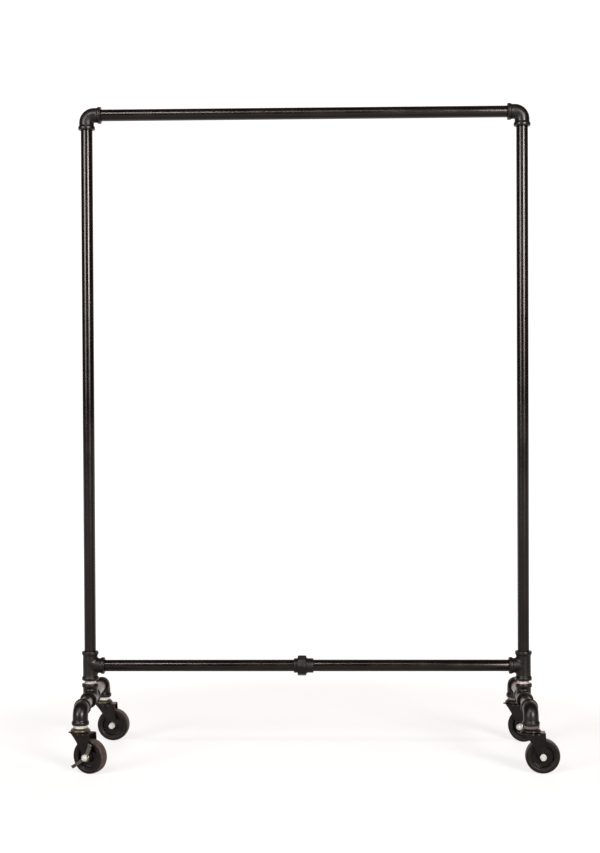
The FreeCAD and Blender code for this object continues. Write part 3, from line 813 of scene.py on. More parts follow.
nut_corner = NUT_FLATS / 2 / math.cos(math.pi / 8)
nut_profile = blank(NUT_FROM, NUT_TO, nut_corner, SEAT_RADIUS, NUT_CHAMFER, NUT_CHAMFER)
nut_profile[-1:] += (0, NECK_RADIUS - SEAT_RADIUS)
nut_skin = lathe(nut_profile, UNION_START, (1, 0, 0), segments=192, shape=flats(8, NUT_FLATS, 0.5 * MM))
make_frame_piece("union_nut", "_casting", [nut_skin], CAST, sharp_degrees=25)
print("union:", round(UNION_LENGTH / MM, 1), "mm long, nut", round(NUT_FLATS / MM, 1), "mm across flats")

# %% [markdown]
# ## Castors
# A castor is drawn standing at the origin: kingpin on Z, wheel trailing towards +X, axle along Y. Each
# corner then turns it and moves it under its elbow. The turn comes from the direction of its roll joint.

# %% Castor places and sizes


def corner_axes(corner):
    """Trailing direction and axle direction of a corner's castor."""
    axle = np.array(JOINTS["roll_" + corner]["axis"], float)
    axle /= np.linalg.norm(axle)
    return np.cross(axle, (0, 0, 1)), axle


def place(points, corner):
    """Move points of a castor from the origin to a corner."""
    trail, axle = corner_axes(corner)
    return KINGPIN[corner] + points @ np.stack([trail, axle, (0, 0, 1)])


first_roll = np.array(JOINTS["roll_front_left"]["pos_m"])
TRAIL = float((first_roll - KINGPIN["front_left"]) @ corner_axes("front_left")[0])
AXLE_Z = float(first_roll[2])
AXLE = np.array((TRAIL, 0.0, AXLE_Z))
BACKWARD = np.array((0.0, 1.0, 0.0))
UPWARD = np.array((0.0, 0.0, 1.0))
WHEEL_RADIUS = AXLE_Z
RACE_LOW, RACE_HIGH = (float(box[2]) for box in node_box("upper_race_front_left"))
PLATE_TOP = RACE_LOW - 2.0 * MM
SHEET = 2.6 * MM
LEG_OUTSIDE = 16.1 * MM
LEG_INSIDE = LEG_OUTSIDE - SHEET
BALL_CIRCLE = 12.0 * MM
print("castor trail", round(TRAIL / MM, 1), "mm, axle height", round(AXLE_Z / MM, 1), "mm")


def make_castor_piece(name, nodes, body, parts, corner, material, sharp_degrees=40):
    """One castor piece for a corner, from (points, faces) pairs drawn at the origin."""
    points, faces = joined(parts)
    piece = make_piece(name + "_" + corner, place(points, corner), faces, sharp_degrees)
    stand_for(piece, nodes, body, material)
    return piece


# %% Bushings and upper races
HEX_CORNERS = 33.0 * MM
BUSHING_THREAD = 12.0 * MM
STEM_RADIUS = 6.0 * MM
RACE_BORE = 5.0 * MM
RACE_LIP = 22.0 * MM
RACE_GROOVE = 2.3 * MM


def bushing_part():
    """A six-sided head with a threaded part above it, bored for the stem."""
    outline = blank(RACE_HIGH, ELBOW_FACE_Z, HEX_CORNERS / 2, STEM_RADIUS, 1.5 * MM, 1.0 * MM)
    head = lathe(outline, (0, 0, 0), UPWARD, segments=144,
                 shape=flats(6, HEX_CORNERS * math.cos(math.pi / 6), 0.4 * MM))
    tube = np.array([
        (ELBOW_FACE_Z - 0.1 * MM, STEM_RADIUS),
        (ELBOW_FACE_Z - 0.1 * MM, PIPE_RADIUS - 0.2 * MM),
        (ELBOW_FACE_Z + BUSHING_THREAD, PIPE_RADIUS - 0.2 * MM),
        (ELBOW_FACE_Z + BUSHING_THREAD, STEM_RADIUS),
    ])
    return [head, lathe(tube, (0, 0, 0), UPWARD)]


def upper_race_part():
    """A pressed dome: convex outside, a rolled lip below, and a groove for the balls inside."""
    turn = np.linspace(0.14, np.pi - 0.14, 13)
    ball_height = PLATE_TOP + 1.0 * MM
    arc_height = ball_height + RACE_GROOVE * np.sin(turn)
    arc = np.stack([arc_height, BALL_CIRCLE + RACE_GROOVE * np.cos(turn)], axis=1)
    arc[:, 0] = np.maximum(arc[:, 0], RACE_LOW)
    dome = rounded([
        (RACE_LOW, RACE_BORE),
        (RACE_HIGH, RACE_BORE),
        (RACE_HIGH, 16.4 * MM, 1.5 * MM),
        (RACE_LOW + 2.6 * MM, 21.4 * MM, 2.0 * MM),
        (RACE_LOW + 1.0 * MM, RACE_LIP, 0.5 * MM),
        (RACE_LOW, RACE_LIP, 0.4 * MM),
        (RACE_LOW, 20.4 * MM, 0.4 * MM),
        (RACE_LOW + 1.8 * MM, 19.8 * MM, 0.5 * MM),
        (RACE_LOW + 1.8 * MM, 16.0 * MM, 0.5 * MM),
        (RACE_LOW, 15.4 * MM),
    ], steps=5)
    return [lathe(np.concatenate([dome, arc]), (0, 0, 0), UPWARD)]


for corner_name in CORNERS:
    # The left-hand castors get the bright zinc and race finishes, the right-hand ones the darker copies.
    is_bright = corner_name.endswith("left")
    make_castor_piece("hexagon_bushing", ["bushing_" + corner_name], "frame", bushing_part(), corner_name,
                      ZINC if is_bright else DARKER_ZINC, sharp_degrees=25)
    make_castor_piece("race_dome", ["upper_race_" + corner_name], "frame", upper_race_part(), corner_name,
                      RACE if is_bright else DARKER_RACE)
print("bushings and races made")

# %% [markdown]
# ## Forks
# A fork is one flat sheet, bent down at both sides. Two numbers place a point on it: the distance along the
# bent path (up one leg, over the plate, down the other), and the share of the width from the front edge to
# the back edge. The width changes with height, so the legs taper to a round end at the axle. Pressed ribs
# and the raised ring for the balls are small shifts of that sheet along its own normal.

# %% The outline of a leg
FORK_FRONT = -18.0 * MM
FORK_BACK = 31.0 * MM
FORK_NOSE = 5.0 * MM             # the plate reaches this far beyond the front of the legs
BOSS_RADIUS = 8.6 * MM
FRONT_HOLLOW = 3.5 * MM
BEND_OUTSIDE = 3.0 * MM


def tangent_point(x, z, turn):
    """Where a line from (x, z) touches the round end. turn is 1 or -1 for the two tangents."""
    run, rise = x - TRAIL, z - AXLE_Z
    angle = math.atan2(rise, run) + turn * math.acos(BOSS_RADIUS / math.hypot(run, rise))
    return np.array((TRAIL + BOSS_RADIUS * math.cos(angle), AXLE_Z + BOSS_RADIUS * math.sin(angle)))


def leg_edges(height):
    """Front and back edge of a leg at each height.

    Below the tangents both follow the circle x = trail -+ sqrt(r^2 - (z - axle)^2). Above them the back
    edge is straight, and the front edge is an arc that curves in by FRONT_HOLLOW.
    """
    front_top = np.array((FORK_FRONT, PLATE_TOP))
    front_low = tangent_point(FORK_FRONT, PLATE_TOP, 1)
    back_low = tangent_point(FORK_BACK, PLATE_TOP, -1)
    chord = front_low - front_top
    length = np.linalg.norm(chord)
    inward = np.array((-chord[1], chord[0])) / length
    arc_radius = (length ** 2 / 4 + FRONT_HOLLOW ** 2) / (2 * FRONT_HOLLOW)
    centre = (front_top + front_low) / 2 + inward * (FRONT_HOLLOW - arc_radius)
    half = np.sqrt(np.maximum(BOSS_RADIUS ** 2 - (height - AXLE_Z) ** 2, 0))
    front = centre[0] + np.sqrt(np.maximum(arc_radius ** 2 - (height - centre[1]) ** 2, 0))
    front = np.where(height < front_low[1], TRAIL - half, front)
    share = (height - back_low[1]) / (PLATE_TOP - back_low[1])
    back = back_low[0] + (FORK_BACK - back_low[0]) * share
    back = np.where(height < back_low[1], TRAIL + half, back)
    return front, back


print("leg edges at half height:", leg_edges(np.array([0.06])))

# %% The sheet and its pressings
EDGE_ROUNDING = 0.6 * MM
BLOCK = 2.0 * MM                 # half the side of the square of cells taken out for the kingpin
BLOCK_CELLS = 8
KING_HOLE = 5.08 * MM
RIB_SHARES = (0.42, 0.68)        # places of the ribs, as shares of the width under the plate
RIB_HEIGHT = 1.1 * MM
RIB_HALF_WIDTH = 2.6 * MM
RIB_FADE = 4.0 * MM
RIB_LOW_GAP = 16.0 * MM          # from the axle up to where a rib begins
RIB_HIGH_GAP = 1.5 * MM          # from where it ends up to the plate
RING_HEIGHT = 0.9 * MM
RING_HALF_WIDTH = 4.1 * MM
RING_SLOPE = 1.1 * MM
GROOVE_RADIUS = 2.0 * MM
GROOVE_RISE = 1.0 * MM


def lines_through_block(low, high, cells_low, cells_high):
    """Places of grid lines from low to high, with BLOCK_CELLS equal cells from -BLOCK to BLOCK."""
    return np.concatenate([
        np.linspace(low, -BLOCK, cells_low + 1),
        np.linspace(-BLOCK, BLOCK, BLOCK_CELLS + 1)[1:],
        np.linspace(BLOCK, high, cells_high + 1)[1:],
    ])


def fork_path():
    """Points (y, z) of the sheet's outside, and their outward normals, from one foot to the other."""
    round_end = AXLE_Z - BOSS_RADIUS * np.cos(np.linspace(0, np.pi / 2, 14))
    straight = np.linspace(AXLE_Z, PLATE_TOP - BEND_OUTSIDE, 34)[1:]
    rise = np.concatenate([round_end, straight])
    turn = np.linspace(0, np.pi / 2, 8)[1:]
    leg = np.stack([np.full(len(rise), -LEG_OUTSIDE), rise], axis=1)
    leg_normal = np.tile((-1.0, 0.0), (len(rise), 1))
    bend_centre = np.array((-LEG_OUTSIDE + BEND_OUTSIDE, PLATE_TOP - BEND_OUTSIDE))
    bend_normal = np.stack([-np.cos(turn), np.sin(turn)], axis=1)
    half = np.concatenate([leg, bend_centre + BEND_OUTSIDE * bend_normal])
    half_normal = np.concatenate([leg_normal, bend_normal])
    flat_end = LEG_OUTSIDE - BEND_OUTSIDE
    top_y = lines_through_block(-flat_end, flat_end, 20, 20)[1:-1]
    top = np.stack([top_y, np.full(len(top_y), PLATE_TOP)], axis=1)
    top_normal = np.tile((0.0, 1.0), (len(top_y), 1))
    mirror = np.array((-1.0, 1.0))
    path = np.concatenate([half, top, half[::-1] * mirror])
    normals = np.concatenate([half_normal, top_normal, half_normal[::-1] * mirror])
    return path, normals


def rib_height(x, y, z):
    """Two upright ribs on each leg: height * cos^2 across the width, fading in at both ends."""
    on_leg = np.clip((np.abs(y) - LEG_OUTSIDE + 0.5 * MM) / (0.5 * MM), 0, 1)
    lower_fade = np.clip((z - AXLE_Z - RIB_LOW_GAP) / RIB_FADE, 0, 1)
    upper_fade = np.clip((PLATE_TOP - RIB_HIGH_GAP - z) / RIB_FADE, 0, 1)
    height = np.zeros_like(x)
    for share in RIB_SHARES:
        rib_x = FORK_FRONT + share * (FORK_BACK - FORK_FRONT)
        across = np.clip(np.abs(x - rib_x) / RIB_HALF_WIDTH, 0, 1)
        height += RIB_HEIGHT * np.cos(across * np.pi / 2) ** 2 * on_leg * lower_fade * upper_fade
    return height


def ring_height(x, y):
    """The lower race: a raised ring, with a round groove in which the balls run."""
    off_circle = np.hypot(x, y) - BALL_CIRCLE
    ring = RING_HEIGHT * np.clip((RING_HALF_WIDTH - np.abs(off_circle)) / RING_SLOPE, 0, 1)
    groove = GROOVE_RISE - np.sqrt(np.maximum(GROOVE_RADIUS ** 2 - off_circle ** 2, 0))
    return np.where(np.abs(off_circle) < GROOVE_RADIUS, groove, ring)


def open_hole(x, y):
    """Move the grid round the kingpin outwards, so that the edge of the square block becomes a circle.

    With m the larger of |x| and |y|, a point at m = BLOCK goes to the circle, one at m = 4 BLOCK stays.
    """
    largest = np.maximum(np.abs(x), np.abs(y))
    distance = np.maximum(np.hypot(x, y), 1e-9)
    share = np.clip((largest - BLOCK) / (3 * BLOCK), 0, 1)
    scale = (1 - share) * KING_HOLE / distance + share
    return x * scale, y * scale


# %% Make the four forks


def section_places():
    """Round the sheet's section: share of the width, sideways inset and depth, starting at the front."""
    plate_front = FORK_FRONT - FORK_NOSE
    plate_x = lines_through_block(plate_front + EDGE_ROUNDING, FORK_BACK - EDGE_ROUNDING, 36, 54)
    share = (plate_x - plate_x[0]) / (plate_x[-1] - plate_x[0])
    turn = np.linspace(0, np.pi / 2, 4)
    corner_in = EDGE_ROUNDING * (1 - np.sin(turn[1:]))
    corner_deep = EDGE_ROUNDING * (1 - np.cos(turn[1:]))
    count = len(corner_in)
    edge_in = np.concatenate([corner_in, corner_in[::-1]])
    edge_deep = np.concatenate([corner_deep, SHEET - corner_deep[::-1]])
    shares = np.concatenate([share, np.ones(2 * count), share[::-1], np.zeros(2 * count)])
    insets = np.concatenate([
        np.full(len(share), EDGE_ROUNDING), edge_in, np.full(len(share), EDGE_ROUNDING), edge_in[::-1],
    ])
    depths = np.concatenate([
        np.zeros(len(share)), edge_deep, np.full(len(share), SHEET), edge_deep[::-1],
    ])
    return shares, insets, depths, len(share), 2 * count


def fork_part():
    """The sheet as a grid that goes round its section, with the kingpin's hole opened in the plate."""
    path, normals = fork_path()
    shares, insets, depths, across_count, edge_count = section_places()
    front, back = leg_edges(path[:, 1])
    front = front - FORK_NOSE * np.clip(normals[:, 1], 0, 1) ** 3
    width = back - front
    inset = np.minimum(insets[None, :], 0.49 * width[:, None])
    x = front[:, None] + inset + shares[None, :] * (width[:, None] - 2 * inset)
    y0 = np.broadcast_to(path[:, :1], x.shape)
    z0 = np.broadcast_to(path[:, 1:], x.shape)
    outward = rib_height(x, y0, z0) - depths[None, :]
    flatness = np.clip(normals[:, 1:], 0, 1)
    upward = ring_height(x, y0) * flatness ** 2 * (z0 > PLATE_TOP - BEND_OUTSIDE)
    y = y0 + normals[:, :1] * outward
    z = z0 + normals[:, 1:] * outward + upward
    on_flat = np.abs(y0) < LEG_OUTSIDE - BEND_OUTSIDE
    hole_x, hole_y = open_hole(x, y)
    points = np.stack([np.where(on_flat, hole_x, x), np.where(on_flat, hole_y, y), z], axis=-1)
    faces = grid_faces(*x.shape)
    in_block = np.maximum(np.abs(x), np.abs(y0)) < BLOCK + 1e-7
    faces = faces[~in_block.ravel()[faces].all(axis=1)]
    return [(points, np.concatenate([faces, hole_wall(in_block, across_count, edge_count)]))]


def hole_wall(in_block, across_count, edge_count):
    """Faces between the rim of the hole in the outer layer and the same rim in the inner layer."""
    columns_total = in_block.shape[1]
    rows = np.flatnonzero(in_block.any(axis=1))
    columns = np.flatnonzero(in_block[rows[0], :across_count])
    side = np.arange(BLOCK_CELLS)
    rim_row = rows[0] + np.concatenate([0 * side, side, 0 * side + BLOCK_CELLS, BLOCK_CELLS - side])
    rim_column = columns[0] + np.concatenate([side, 0 * side + BLOCK_CELLS, BLOCK_CELLS - side, 0 * side])
    inner_column = 2 * across_count + edge_count - 1 - rim_column
    outer = rim_row * columns_total + rim_column
    inner = rim_row * columns_total + inner_column
    return np.stack([outer, np.roll(outer, -1), np.roll(inner, -1), inner], axis=1)


for corner_name in CORNERS:
    make_castor_piece("stamped_fork", ["fork_" + corner_name], "fork_" + corner_name, fork_part(),
                      corner_name, STAMPED, sharp_degrees=50)
print("forks made")

# %% [markdown]
# ## Wheels
# The wheel is a moulded core with a hard tyre bonded round its rim. Both are turned about the axle, with
# every corner rounded. The tyre's tread is a little crowned, and an attribute marks it for the scuffed
# colour.

# %% Make the wheels
RIM_RADIUS = 27.0 * MM
TYRE_HALF = 12.0 * MM
RIM_HALF = 10.0 * MM
WEB_HALF = 2.5 * MM
HUB_RADIUS = 11.0 * MM
HUB_HALF = LEG_INSIDE - 0.4 * MM
SLEEVE_RADIUS = 6.2 * MM
TREAD_BEGIN = 2.6 * MM           # the mark begins this far inside the rolling radius
TREAD_FADE = 1.6 * MM            # and is full this much further out


def mirrored(outline):
    """An outline for the positive side, continued by its mirror image on the negative side."""
    return outline + [(-along, radius, rounding) for along, radius, rounding in reversed(outline)]


def core_part():
    """Hub, web and rim of the wheel."""
    outline = [
        (0.0, SLEEVE_RADIUS + 0.06 * MM, 0.0),
        (HUB_HALF, SLEEVE_RADIUS + 0.06 * MM, 0.4 * MM),
        (HUB_HALF, HUB_RADIUS, 1.6 * MM),
        (WEB_HALF, HUB_RADIUS + 0.8 * MM, 1.8 * MM),
        (WEB_HALF, RIM_RADIUS - 3.4 * MM, 1.8 * MM),
        (RIM_HALF, RIM_RADIUS - 2.4 * MM, 0.9 * MM),
        (RIM_HALF, RIM_RADIUS - 0.1 * MM, 0.3 * MM),
        (0.0, RIM_RADIUS - 0.1 * MM, 0.0),
    ]
    return [lathe(rounded(mirrored(outline), steps=5), AXLE, BACKWARD, segments=128)]


def tyre_part():
    """The tyre: crowned tread, round shoulders, and a small step where it is bonded to the rim."""
    outline = [
        (0.0, RIM_RADIUS + 0.05 * MM, 0.0),
        (RIM_HALF + 0.2 * MM, RIM_RADIUS + 0.05 * MM, 0.3 * MM),
        (RIM_HALF + 0.9 * MM, RIM_RADIUS + 1.0 * MM, 0.5 * MM),
        (TYRE_HALF - 0.5 * MM, RIM_RADIUS + 2.0 * MM, 0.8 * MM),
        (TYRE_HALF, WHEEL_RADIUS - 6.0 * MM, 2.0 * MM),
        (TYRE_HALF - 0.6 * MM, WHEEL_RADIUS - 0.9 * MM, 4.6 * MM),
        (4.0 * MM, WHEEL_RADIUS, 3.0 * MM),
        (0.0, WHEEL_RADIUS, 0.0),
    ]
    return [lathe(rounded(mirrored(outline), steps=8), AXLE, BACKWARD, segments=160)]


def mark_tread(piece, corner):
    """Store how much each point belongs to the rolling tread: 0 on the sides, 1 where it meets the floor.

    The measure is a point's distance from the wheel's axis, the length of (point - centre) x axis.
    """
    roll = JOINTS["roll_" + corner]
    flat = np.empty(3 * len(piece.data.vertices), dtype=np.float32)
    piece.data.vertices.foreach_get("co", flat)
    arms = flat.reshape(-1, 3) - np.array(roll["pos_m"])
    distance = np.linalg.norm(np.cross(arms, np.array(roll["axis"])), axis=1)
    share = np.clip((distance - WHEEL_RADIUS + TREAD_BEGIN) / TREAD_FADE, 0, 1)
    attribute = piece.data.attributes.new("tread", "FLOAT", "POINT")
    attribute.data.foreach_set("value", share.astype(np.float32))


for corner_name in CORNERS:
    make_castor_piece("moulded_core", ["wheel_core_" + corner_name], "wheel_" + corner_name, core_part(),
                      corner_name, CORE)
    tyre = make_castor_piece("hard_tyre", ["tyre_" + corner_name], "wheel_" + corner_name,
                             tyre_part(), corner_name, TYRE, sharp_degrees=60)
    mark_tread(tyre, corner_name)
print("wheels made")

# %% [markdown]
# ## Axle bolts
# The wheel turns on a sleeve. A bolt clamps the sleeve between the legs: its head is at the back, its nut
# and washers are at the front, and two threads of the bolt stand out of the nut.

# %% Make the axle sets
BOLT_RADIUS = 4.0 * MM
BOLT_PITCH = 1.25 * MM
WASHER_RADIUS = 7.0 * MM
LEVER_BUSH_RADIUS = 5.5 * MM
WASHER_STACK = 3.3 * MM
BOLT_FLATS = 12.7 * MM
NUT_HEIGHT = 5.5 * MM
BOLT_POINT = 2.5 * MM
HEAD_HEIGHT = 5.3 * MM
FORWARD = -BACKWARD


def ring_part(low, high, outer, bore, rounding):
    """A washer or a sleeve along the axle, measured forward from the middle of the wheel."""
    outline = [(low, bore), (high, bore), (high, outer, rounding), (low, outer, rounding)]
    return lathe(rounded(outline), AXLE, FORWARD, segments=64)


def hexagon_part(low, high, bore):
    """A hexagon nut, or a bolt head when the bore is tiny."""
    outline = blank(low, high, BOLT_FLATS / 2 / math.cos(math.pi / 6), bore, 1.1 * MM, 0.7 * MM)
    return lathe(outline, AXLE, FORWARD, segments=144, shape=flats(6, BOLT_FLATS, 0.2 * MM))


def bolt_part(nut_end):
    """The shank, with a thread on the part that stands out of the nut, and a chamfered end."""
    rows = int(BOLT_POINT / BOLT_PITCH * ROWS_PER_PITCH)
    threaded = np.stack([np.linspace(nut_end - 0.5 * MM, nut_end + BOLT_POINT - 0.5 * MM, rows),
                         np.full(rows, BOLT_RADIUS)], axis=1)
    start = np.array([(-LEG_OUTSIDE - 1 * MM, 0), (-LEG_OUTSIDE - 1 * MM, BOLT_RADIUS - 0.05 * MM)])
    end = np.array([(nut_end + BOLT_POINT, BOLT_RADIUS - 0.8 * MM), (nut_end + BOLT_POINT, 0)])
    outline = np.concatenate([start, threaded, end])
    return lathe(outline, AXLE, FORWARD, segments=64, shape=thread_shape(BOLT_PITCH, 0.6 * MM, BOLT_RADIUS))


def axle_part(has_brake):
    """Everything on one axle that doesn't turn with the wheel."""
    nut_begin = LEG_OUTSIDE + WASHER_STACK
    if has_brake:
        stack = [ring_part(LEG_OUTSIDE, nut_begin, LEVER_BUSH_RADIUS, BOLT_RADIUS, 0.2 * MM)]
    else:
        middle = LEG_OUTSIDE + 0.55 * WASHER_STACK
        stack = [
            ring_part(LEG_OUTSIDE, middle, WASHER_RADIUS, BOLT_RADIUS, 0.3 * MM),
            ring_part(middle, nut_begin, WASHER_RADIUS - 0.7 * MM, BOLT_RADIUS, 0.3 * MM),
        ]
    return stack + [
        bolt_part(nut_begin + NUT_HEIGHT),
        hexagon_part(nut_begin, nut_begin + NUT_HEIGHT, BOLT_RADIUS),
        hexagon_part(-LEG_OUTSIDE - HEAD_HEIGHT, -LEG_OUTSIDE, 0.3 * MM),
        ring_part(-LEG_INSIDE, LEG_INSIDE, SLEEVE_RADIUS, BOLT_RADIUS, 0.2 * MM),
    ]


for corner_name in CORNERS:
    make_castor_piece("axle_bolt", ["axle_" + corner_name], "fork_" + corner_name,
                      axle_part(corner_name == "front_left"), corner_name, ZINC, sharp_degrees=30)
print("axles made")

# %% [markdown]
# ## The brake lever
# The lever is cut flat and then folded. Its flat shape is star shaped seen from the axle, so its grid runs
# from the hole out to the outline along straight spokes. Folding moves every point of an arm: the distance
# along the arm becomes a distance along a bent path, and the thickness follows the path's normal.

# %% Flat shape and folds of the lever
LEVER_SHEET = 1.6 * MM
LEVER_GAP = 1.35 * MM            # between the leg and the lever
LEVER_INNER_Y = -(LEG_OUTSIDE + LEVER_GAP)
LEVER_HUB = 9.5 * MM
LEVER_CHAMFER = 0.25 * MM
SPOKE_STEPS = 48
LEVER_HOLE = LEVER_BUSH_RADIUS + 0.08 * MM
TOE_ARM = {
    "angle": math.radians(215),
    "half_width": 3.5 * MM,
    "path": [(0, 0), (WHEEL_RADIUS + 1.1 * MM, 0, 2.0 * MM), (WHEEL_RADIUS + 1.1 * MM, 8.2 * MM)],
}
HEEL_ARM = {
    "angle": math.radians(66),
    "half_width": 4.5 * MM,
    "path": [
        (0, 0),
        (29.2 * MM, 0, 1.5 * MM),
        (29.2 * MM, 2.9 * MM, 1.5 * MM),
        (34.2 * MM, 2.9 * MM, 1.5 * MM),
        (34.2 * MM, 6.2 * MM),
    ],
}


def arm_path(arm):
    """The bent path of an arm with its running length: points (distance from axle, rise), lengths."""
    path = rounded(arm["path"], closed=False, steps=6)
    lengths = np.concatenate([[0], np.cumsum(np.linalg.norm(np.diff(path, axis=0), axis=1))])
    return path, lengths


def arm_outline(arm, flat_length):
    """Outline of one arm on the flat sheet, from one side of the hub round the tip to the other side."""
    half = arm["half_width"]
    foot = math.sqrt(LEVER_HUB ** 2 - half ** 2)
    tip = rounded([
        (foot, -half, 2.0 * MM),
        (flat_length, -half, 2.2 * MM),
        (flat_length, half, 2.2 * MM),
        (foot, half, 2.0 * MM),
    ], closed=False, steps=6)
    dense = []
    for begin, end in zip(tip[:-1], tip[1:]):
        steps = max(1, int(np.linalg.norm(end - begin) / (1.2 * MM)))
        dense.append(begin + (end - begin) * np.linspace(0, 1, steps + 1)[:-1, None])
    dense.append(tip[-1:])
    local = np.concatenate(dense)
    turn = np.array([
        (math.cos(arm["angle"]), math.sin(arm["angle"])),
        (-math.sin(arm["angle"]), math.cos(arm["angle"])),
    ])
    return local @ turn


def hub_arc(begin, end):
    """Points of the hub's edge between the sides of two arms."""
    angle = np.linspace(begin, end, 22)[1:-1]
    return np.stack([LEVER_HUB * np.cos(angle), LEVER_HUB * np.sin(angle)], axis=1)


def folded(flat, arm, flat_rise):
    """Move points (x, z) of an arm along its bent path; flat_rise is the height over the inner face."""
    direction = np.array((math.cos(arm["angle"]), math.sin(arm["angle"])))
    across_direction = np.array((-direction[1], direction[0]))
    along = flat @ direction
    across = flat @ across_direction
    path, lengths = arm_path(arm)
    slope = np.gradient(path, lengths, axis=0)
    distance = np.interp(along, lengths, path[:, 0])
    rise = np.interp(along, lengths, path[:, 1])
    slope_distance = np.interp(along, lengths, slope[:, 0])
    slope_rise = np.interp(along, lengths, slope[:, 1])
    size = np.hypot(slope_distance, slope_rise)
    new_distance = distance - slope_rise / size * flat_rise
    new_rise = rise + slope_distance / size * flat_rise
    plane = new_distance[..., None] * direction + across[..., None] * across_direction
    return plane, new_rise


# %% Make the brake lever


def lever_part():
    """The lever as a grid of spokes, out over the front face and back over the rear face.

    A point of a face is hole + share * (outline - hole), and the faces stop LEVER_CHAMFER short of it.
    """
    outline = np.concatenate([
        arm_outline(HEEL_ARM, arm_path(HEEL_ARM)[1][-1]),
        hub_arc(HEEL_ARM["angle"] + math.asin(HEEL_ARM["half_width"] / LEVER_HUB),
                TOE_ARM["angle"] - math.asin(TOE_ARM["half_width"] / LEVER_HUB)),
        arm_outline(TOE_ARM, arm_path(TOE_ARM)[1][-1]),
        hub_arc(TOE_ARM["angle"] + math.asin(TOE_ARM["half_width"] / LEVER_HUB),
                HEEL_ARM["angle"] + 2 * math.pi - math.asin(HEEL_ARM["half_width"] / LEVER_HUB)),
    ])
    hole = outline / np.linalg.norm(outline, axis=1, keepdims=True) * LEVER_HOLE
    spoke = outline - hole
    pull_back = LEVER_CHAMFER / np.linalg.norm(spoke, axis=1, keepdims=True)
    share = np.linspace(0, 1, SPOKE_STEPS)[:, None, None]
    face = hole + share * (1 - pull_back) * spoke
    outer_edge = np.concatenate([face, outline[None], outline[None], face[::-1]])
    height = np.concatenate([
        np.full(SPOKE_STEPS, LEVER_SHEET),
        [LEVER_SHEET - LEVER_CHAMFER, LEVER_CHAMFER],
        np.zeros(SPOKE_STEPS),
    ])
    rise = np.broadcast_to(height[:, None], outer_edge.shape[:2])
    points = np.zeros((*outer_edge.shape[:2], 3))
    points[..., 0], points[..., 2] = outer_edge[..., 0], outer_edge[..., 1]
    points[..., 1] = -rise
    for arm in (TOE_ARM, HEEL_ARM):
        direction = np.array((math.cos(arm["angle"]), math.sin(arm["angle"])))
        on_arm = outer_edge @ direction > LEVER_HUB
        plane, lifted = folded(outer_edge, arm, rise)
        points[..., 0] = np.where(on_arm, plane[..., 0], points[..., 0])
        points[..., 2] = np.where(on_arm, plane[..., 1], points[..., 2])
        points[..., 1] = np.where(on_arm, -lifted, points[..., 1])
    points += AXLE + np.array((0, LEVER_INNER_Y, 0))
    return [(points, grid_faces(*points.shape[:2], wrap_rows=True))]


make_castor_piece("pressed_lever", ["brake_lever"], "brake", lever_part(), "front_left",
                  LEVER, sharp_degrees=35)
print("lever made")

# %% [markdown]
# ## Pieces that stay as they are
# The balls and the kingpins are almost hidden, and their CAD shapes are good enough. They only get a
# finish.

# %% Finish the CAD pieces that stay
for corner_name in CORNERS:
    for kept_node, kept_finish in (("bearing_balls_", BALL_STEEL), ("kingpin_", ZINC)):
        kept = frame["nodes"][kept_node + corner_name]
        kept.data.materials.clear()
        kept.data.materials.append(kept_finish)
        kept.data.shade_smooth()
        kept.data.set_sharp_from_angle(angle=math.radians(40))
print("kept:", 2 * len(CORNERS))

# %% [markdown]
# ## Floor and light
# The floor and the surroundings are plain and pale. Satin black iron shows almost nothing but reflections,
# so the light is made of soft panels in front. One on each side draws the bright line down an upright, and
# a dimmer one below it carries the line on. Two narrow ones high up light the upper sides of the rails.

# %% Floor
FLOOR_HALF = 14.0                # half the side of the square floor
FLOOR_DARK = (0.34, 0.338, 0.335)
FLOOR_PALE = (0.38, 0.378, 0.375)
FLOOR_GLOW = 0.72
FAR_GLOW = 1.08
GLOW_RISE = (0.8, 1.7)           # the glow rises between these distances from the rack
FRONT_REFLECTED_GLOW = 0.1
BACK_REFLECTED_GLOW = 0.9


def make_floor():
    """A wide floor, pale and very slightly clouded, that brightens into the white surroundings.

    Its glow rises with the distance from the rack, and is weaker where the floor is only seen reflected.
    """
    material = bpy.data.materials.new("studio_floor")
    material.use_nodes = True
    tree = material.node_tree
    shader = tree.nodes["Principled BSDF"]
    place_node = object_place(tree)
    clouds = ramp(tree, noise(tree, place_node, 1.3, 3.0), 0.2, 0.8)
    tree.links.new(mix_colour(tree, clouds, FLOOR_DARK, FLOOR_PALE), shader.inputs["Base Color"])
    shader.inputs["Roughness"].default_value = 0.7
    shader.inputs["Specular IOR Level"].default_value = 0.1
    shader.inputs["Emission Color"].default_value = (1.0, 1.0, 1.0, 1.0)
    distance = add(tree, "ShaderNodeVectorMath", operation="LENGTH")
    tree.links.new(place_node, distance.inputs[0])
    seen_glow = ramp(tree, distance.outputs["Value"], *GLOW_RISE, FLOOR_GLOW, FAR_GLOW)
    split = add(tree, "ShaderNodeSeparateXYZ")
    tree.links.new(place_node, split.inputs[0])
    reflected_glow = ramp(tree, split.outputs["Y"], -0.1, 1.0, FRONT_REFLECTED_GLOW, BACK_REFLECTED_GLOW)
    glow = add(tree, "ShaderNodeMix", data_type="FLOAT")
    tree.links.new(add(tree, "ShaderNodeLightPath").outputs["Is Camera Ray"], glow.inputs[0])
    tree.links.new(reflected_glow, glow.inputs[2])
    tree.links.new(seen_glow, glow.inputs[3])
    tree.links.new(glow.outputs[0], shader.inputs["Emission Strength"])
    mesh = bpy.data.meshes.new("floor")
    square = [(-FLOOR_HALF, -FLOOR_HALF, 0), (FLOOR_HALF, -FLOOR_HALF, 0),
              (FLOOR_HALF, FLOOR_HALF, 0), (-FLOOR_HALF, FLOOR_HALF, 0)]
    mesh.from_pydata(square, [], [(0, 1, 2, 3)])
    mesh.materials.append(material)
    floor = bpy.data.objects.new("floor", mesh)
    bpy.context.collection.objects.link(floor)


make_floor()

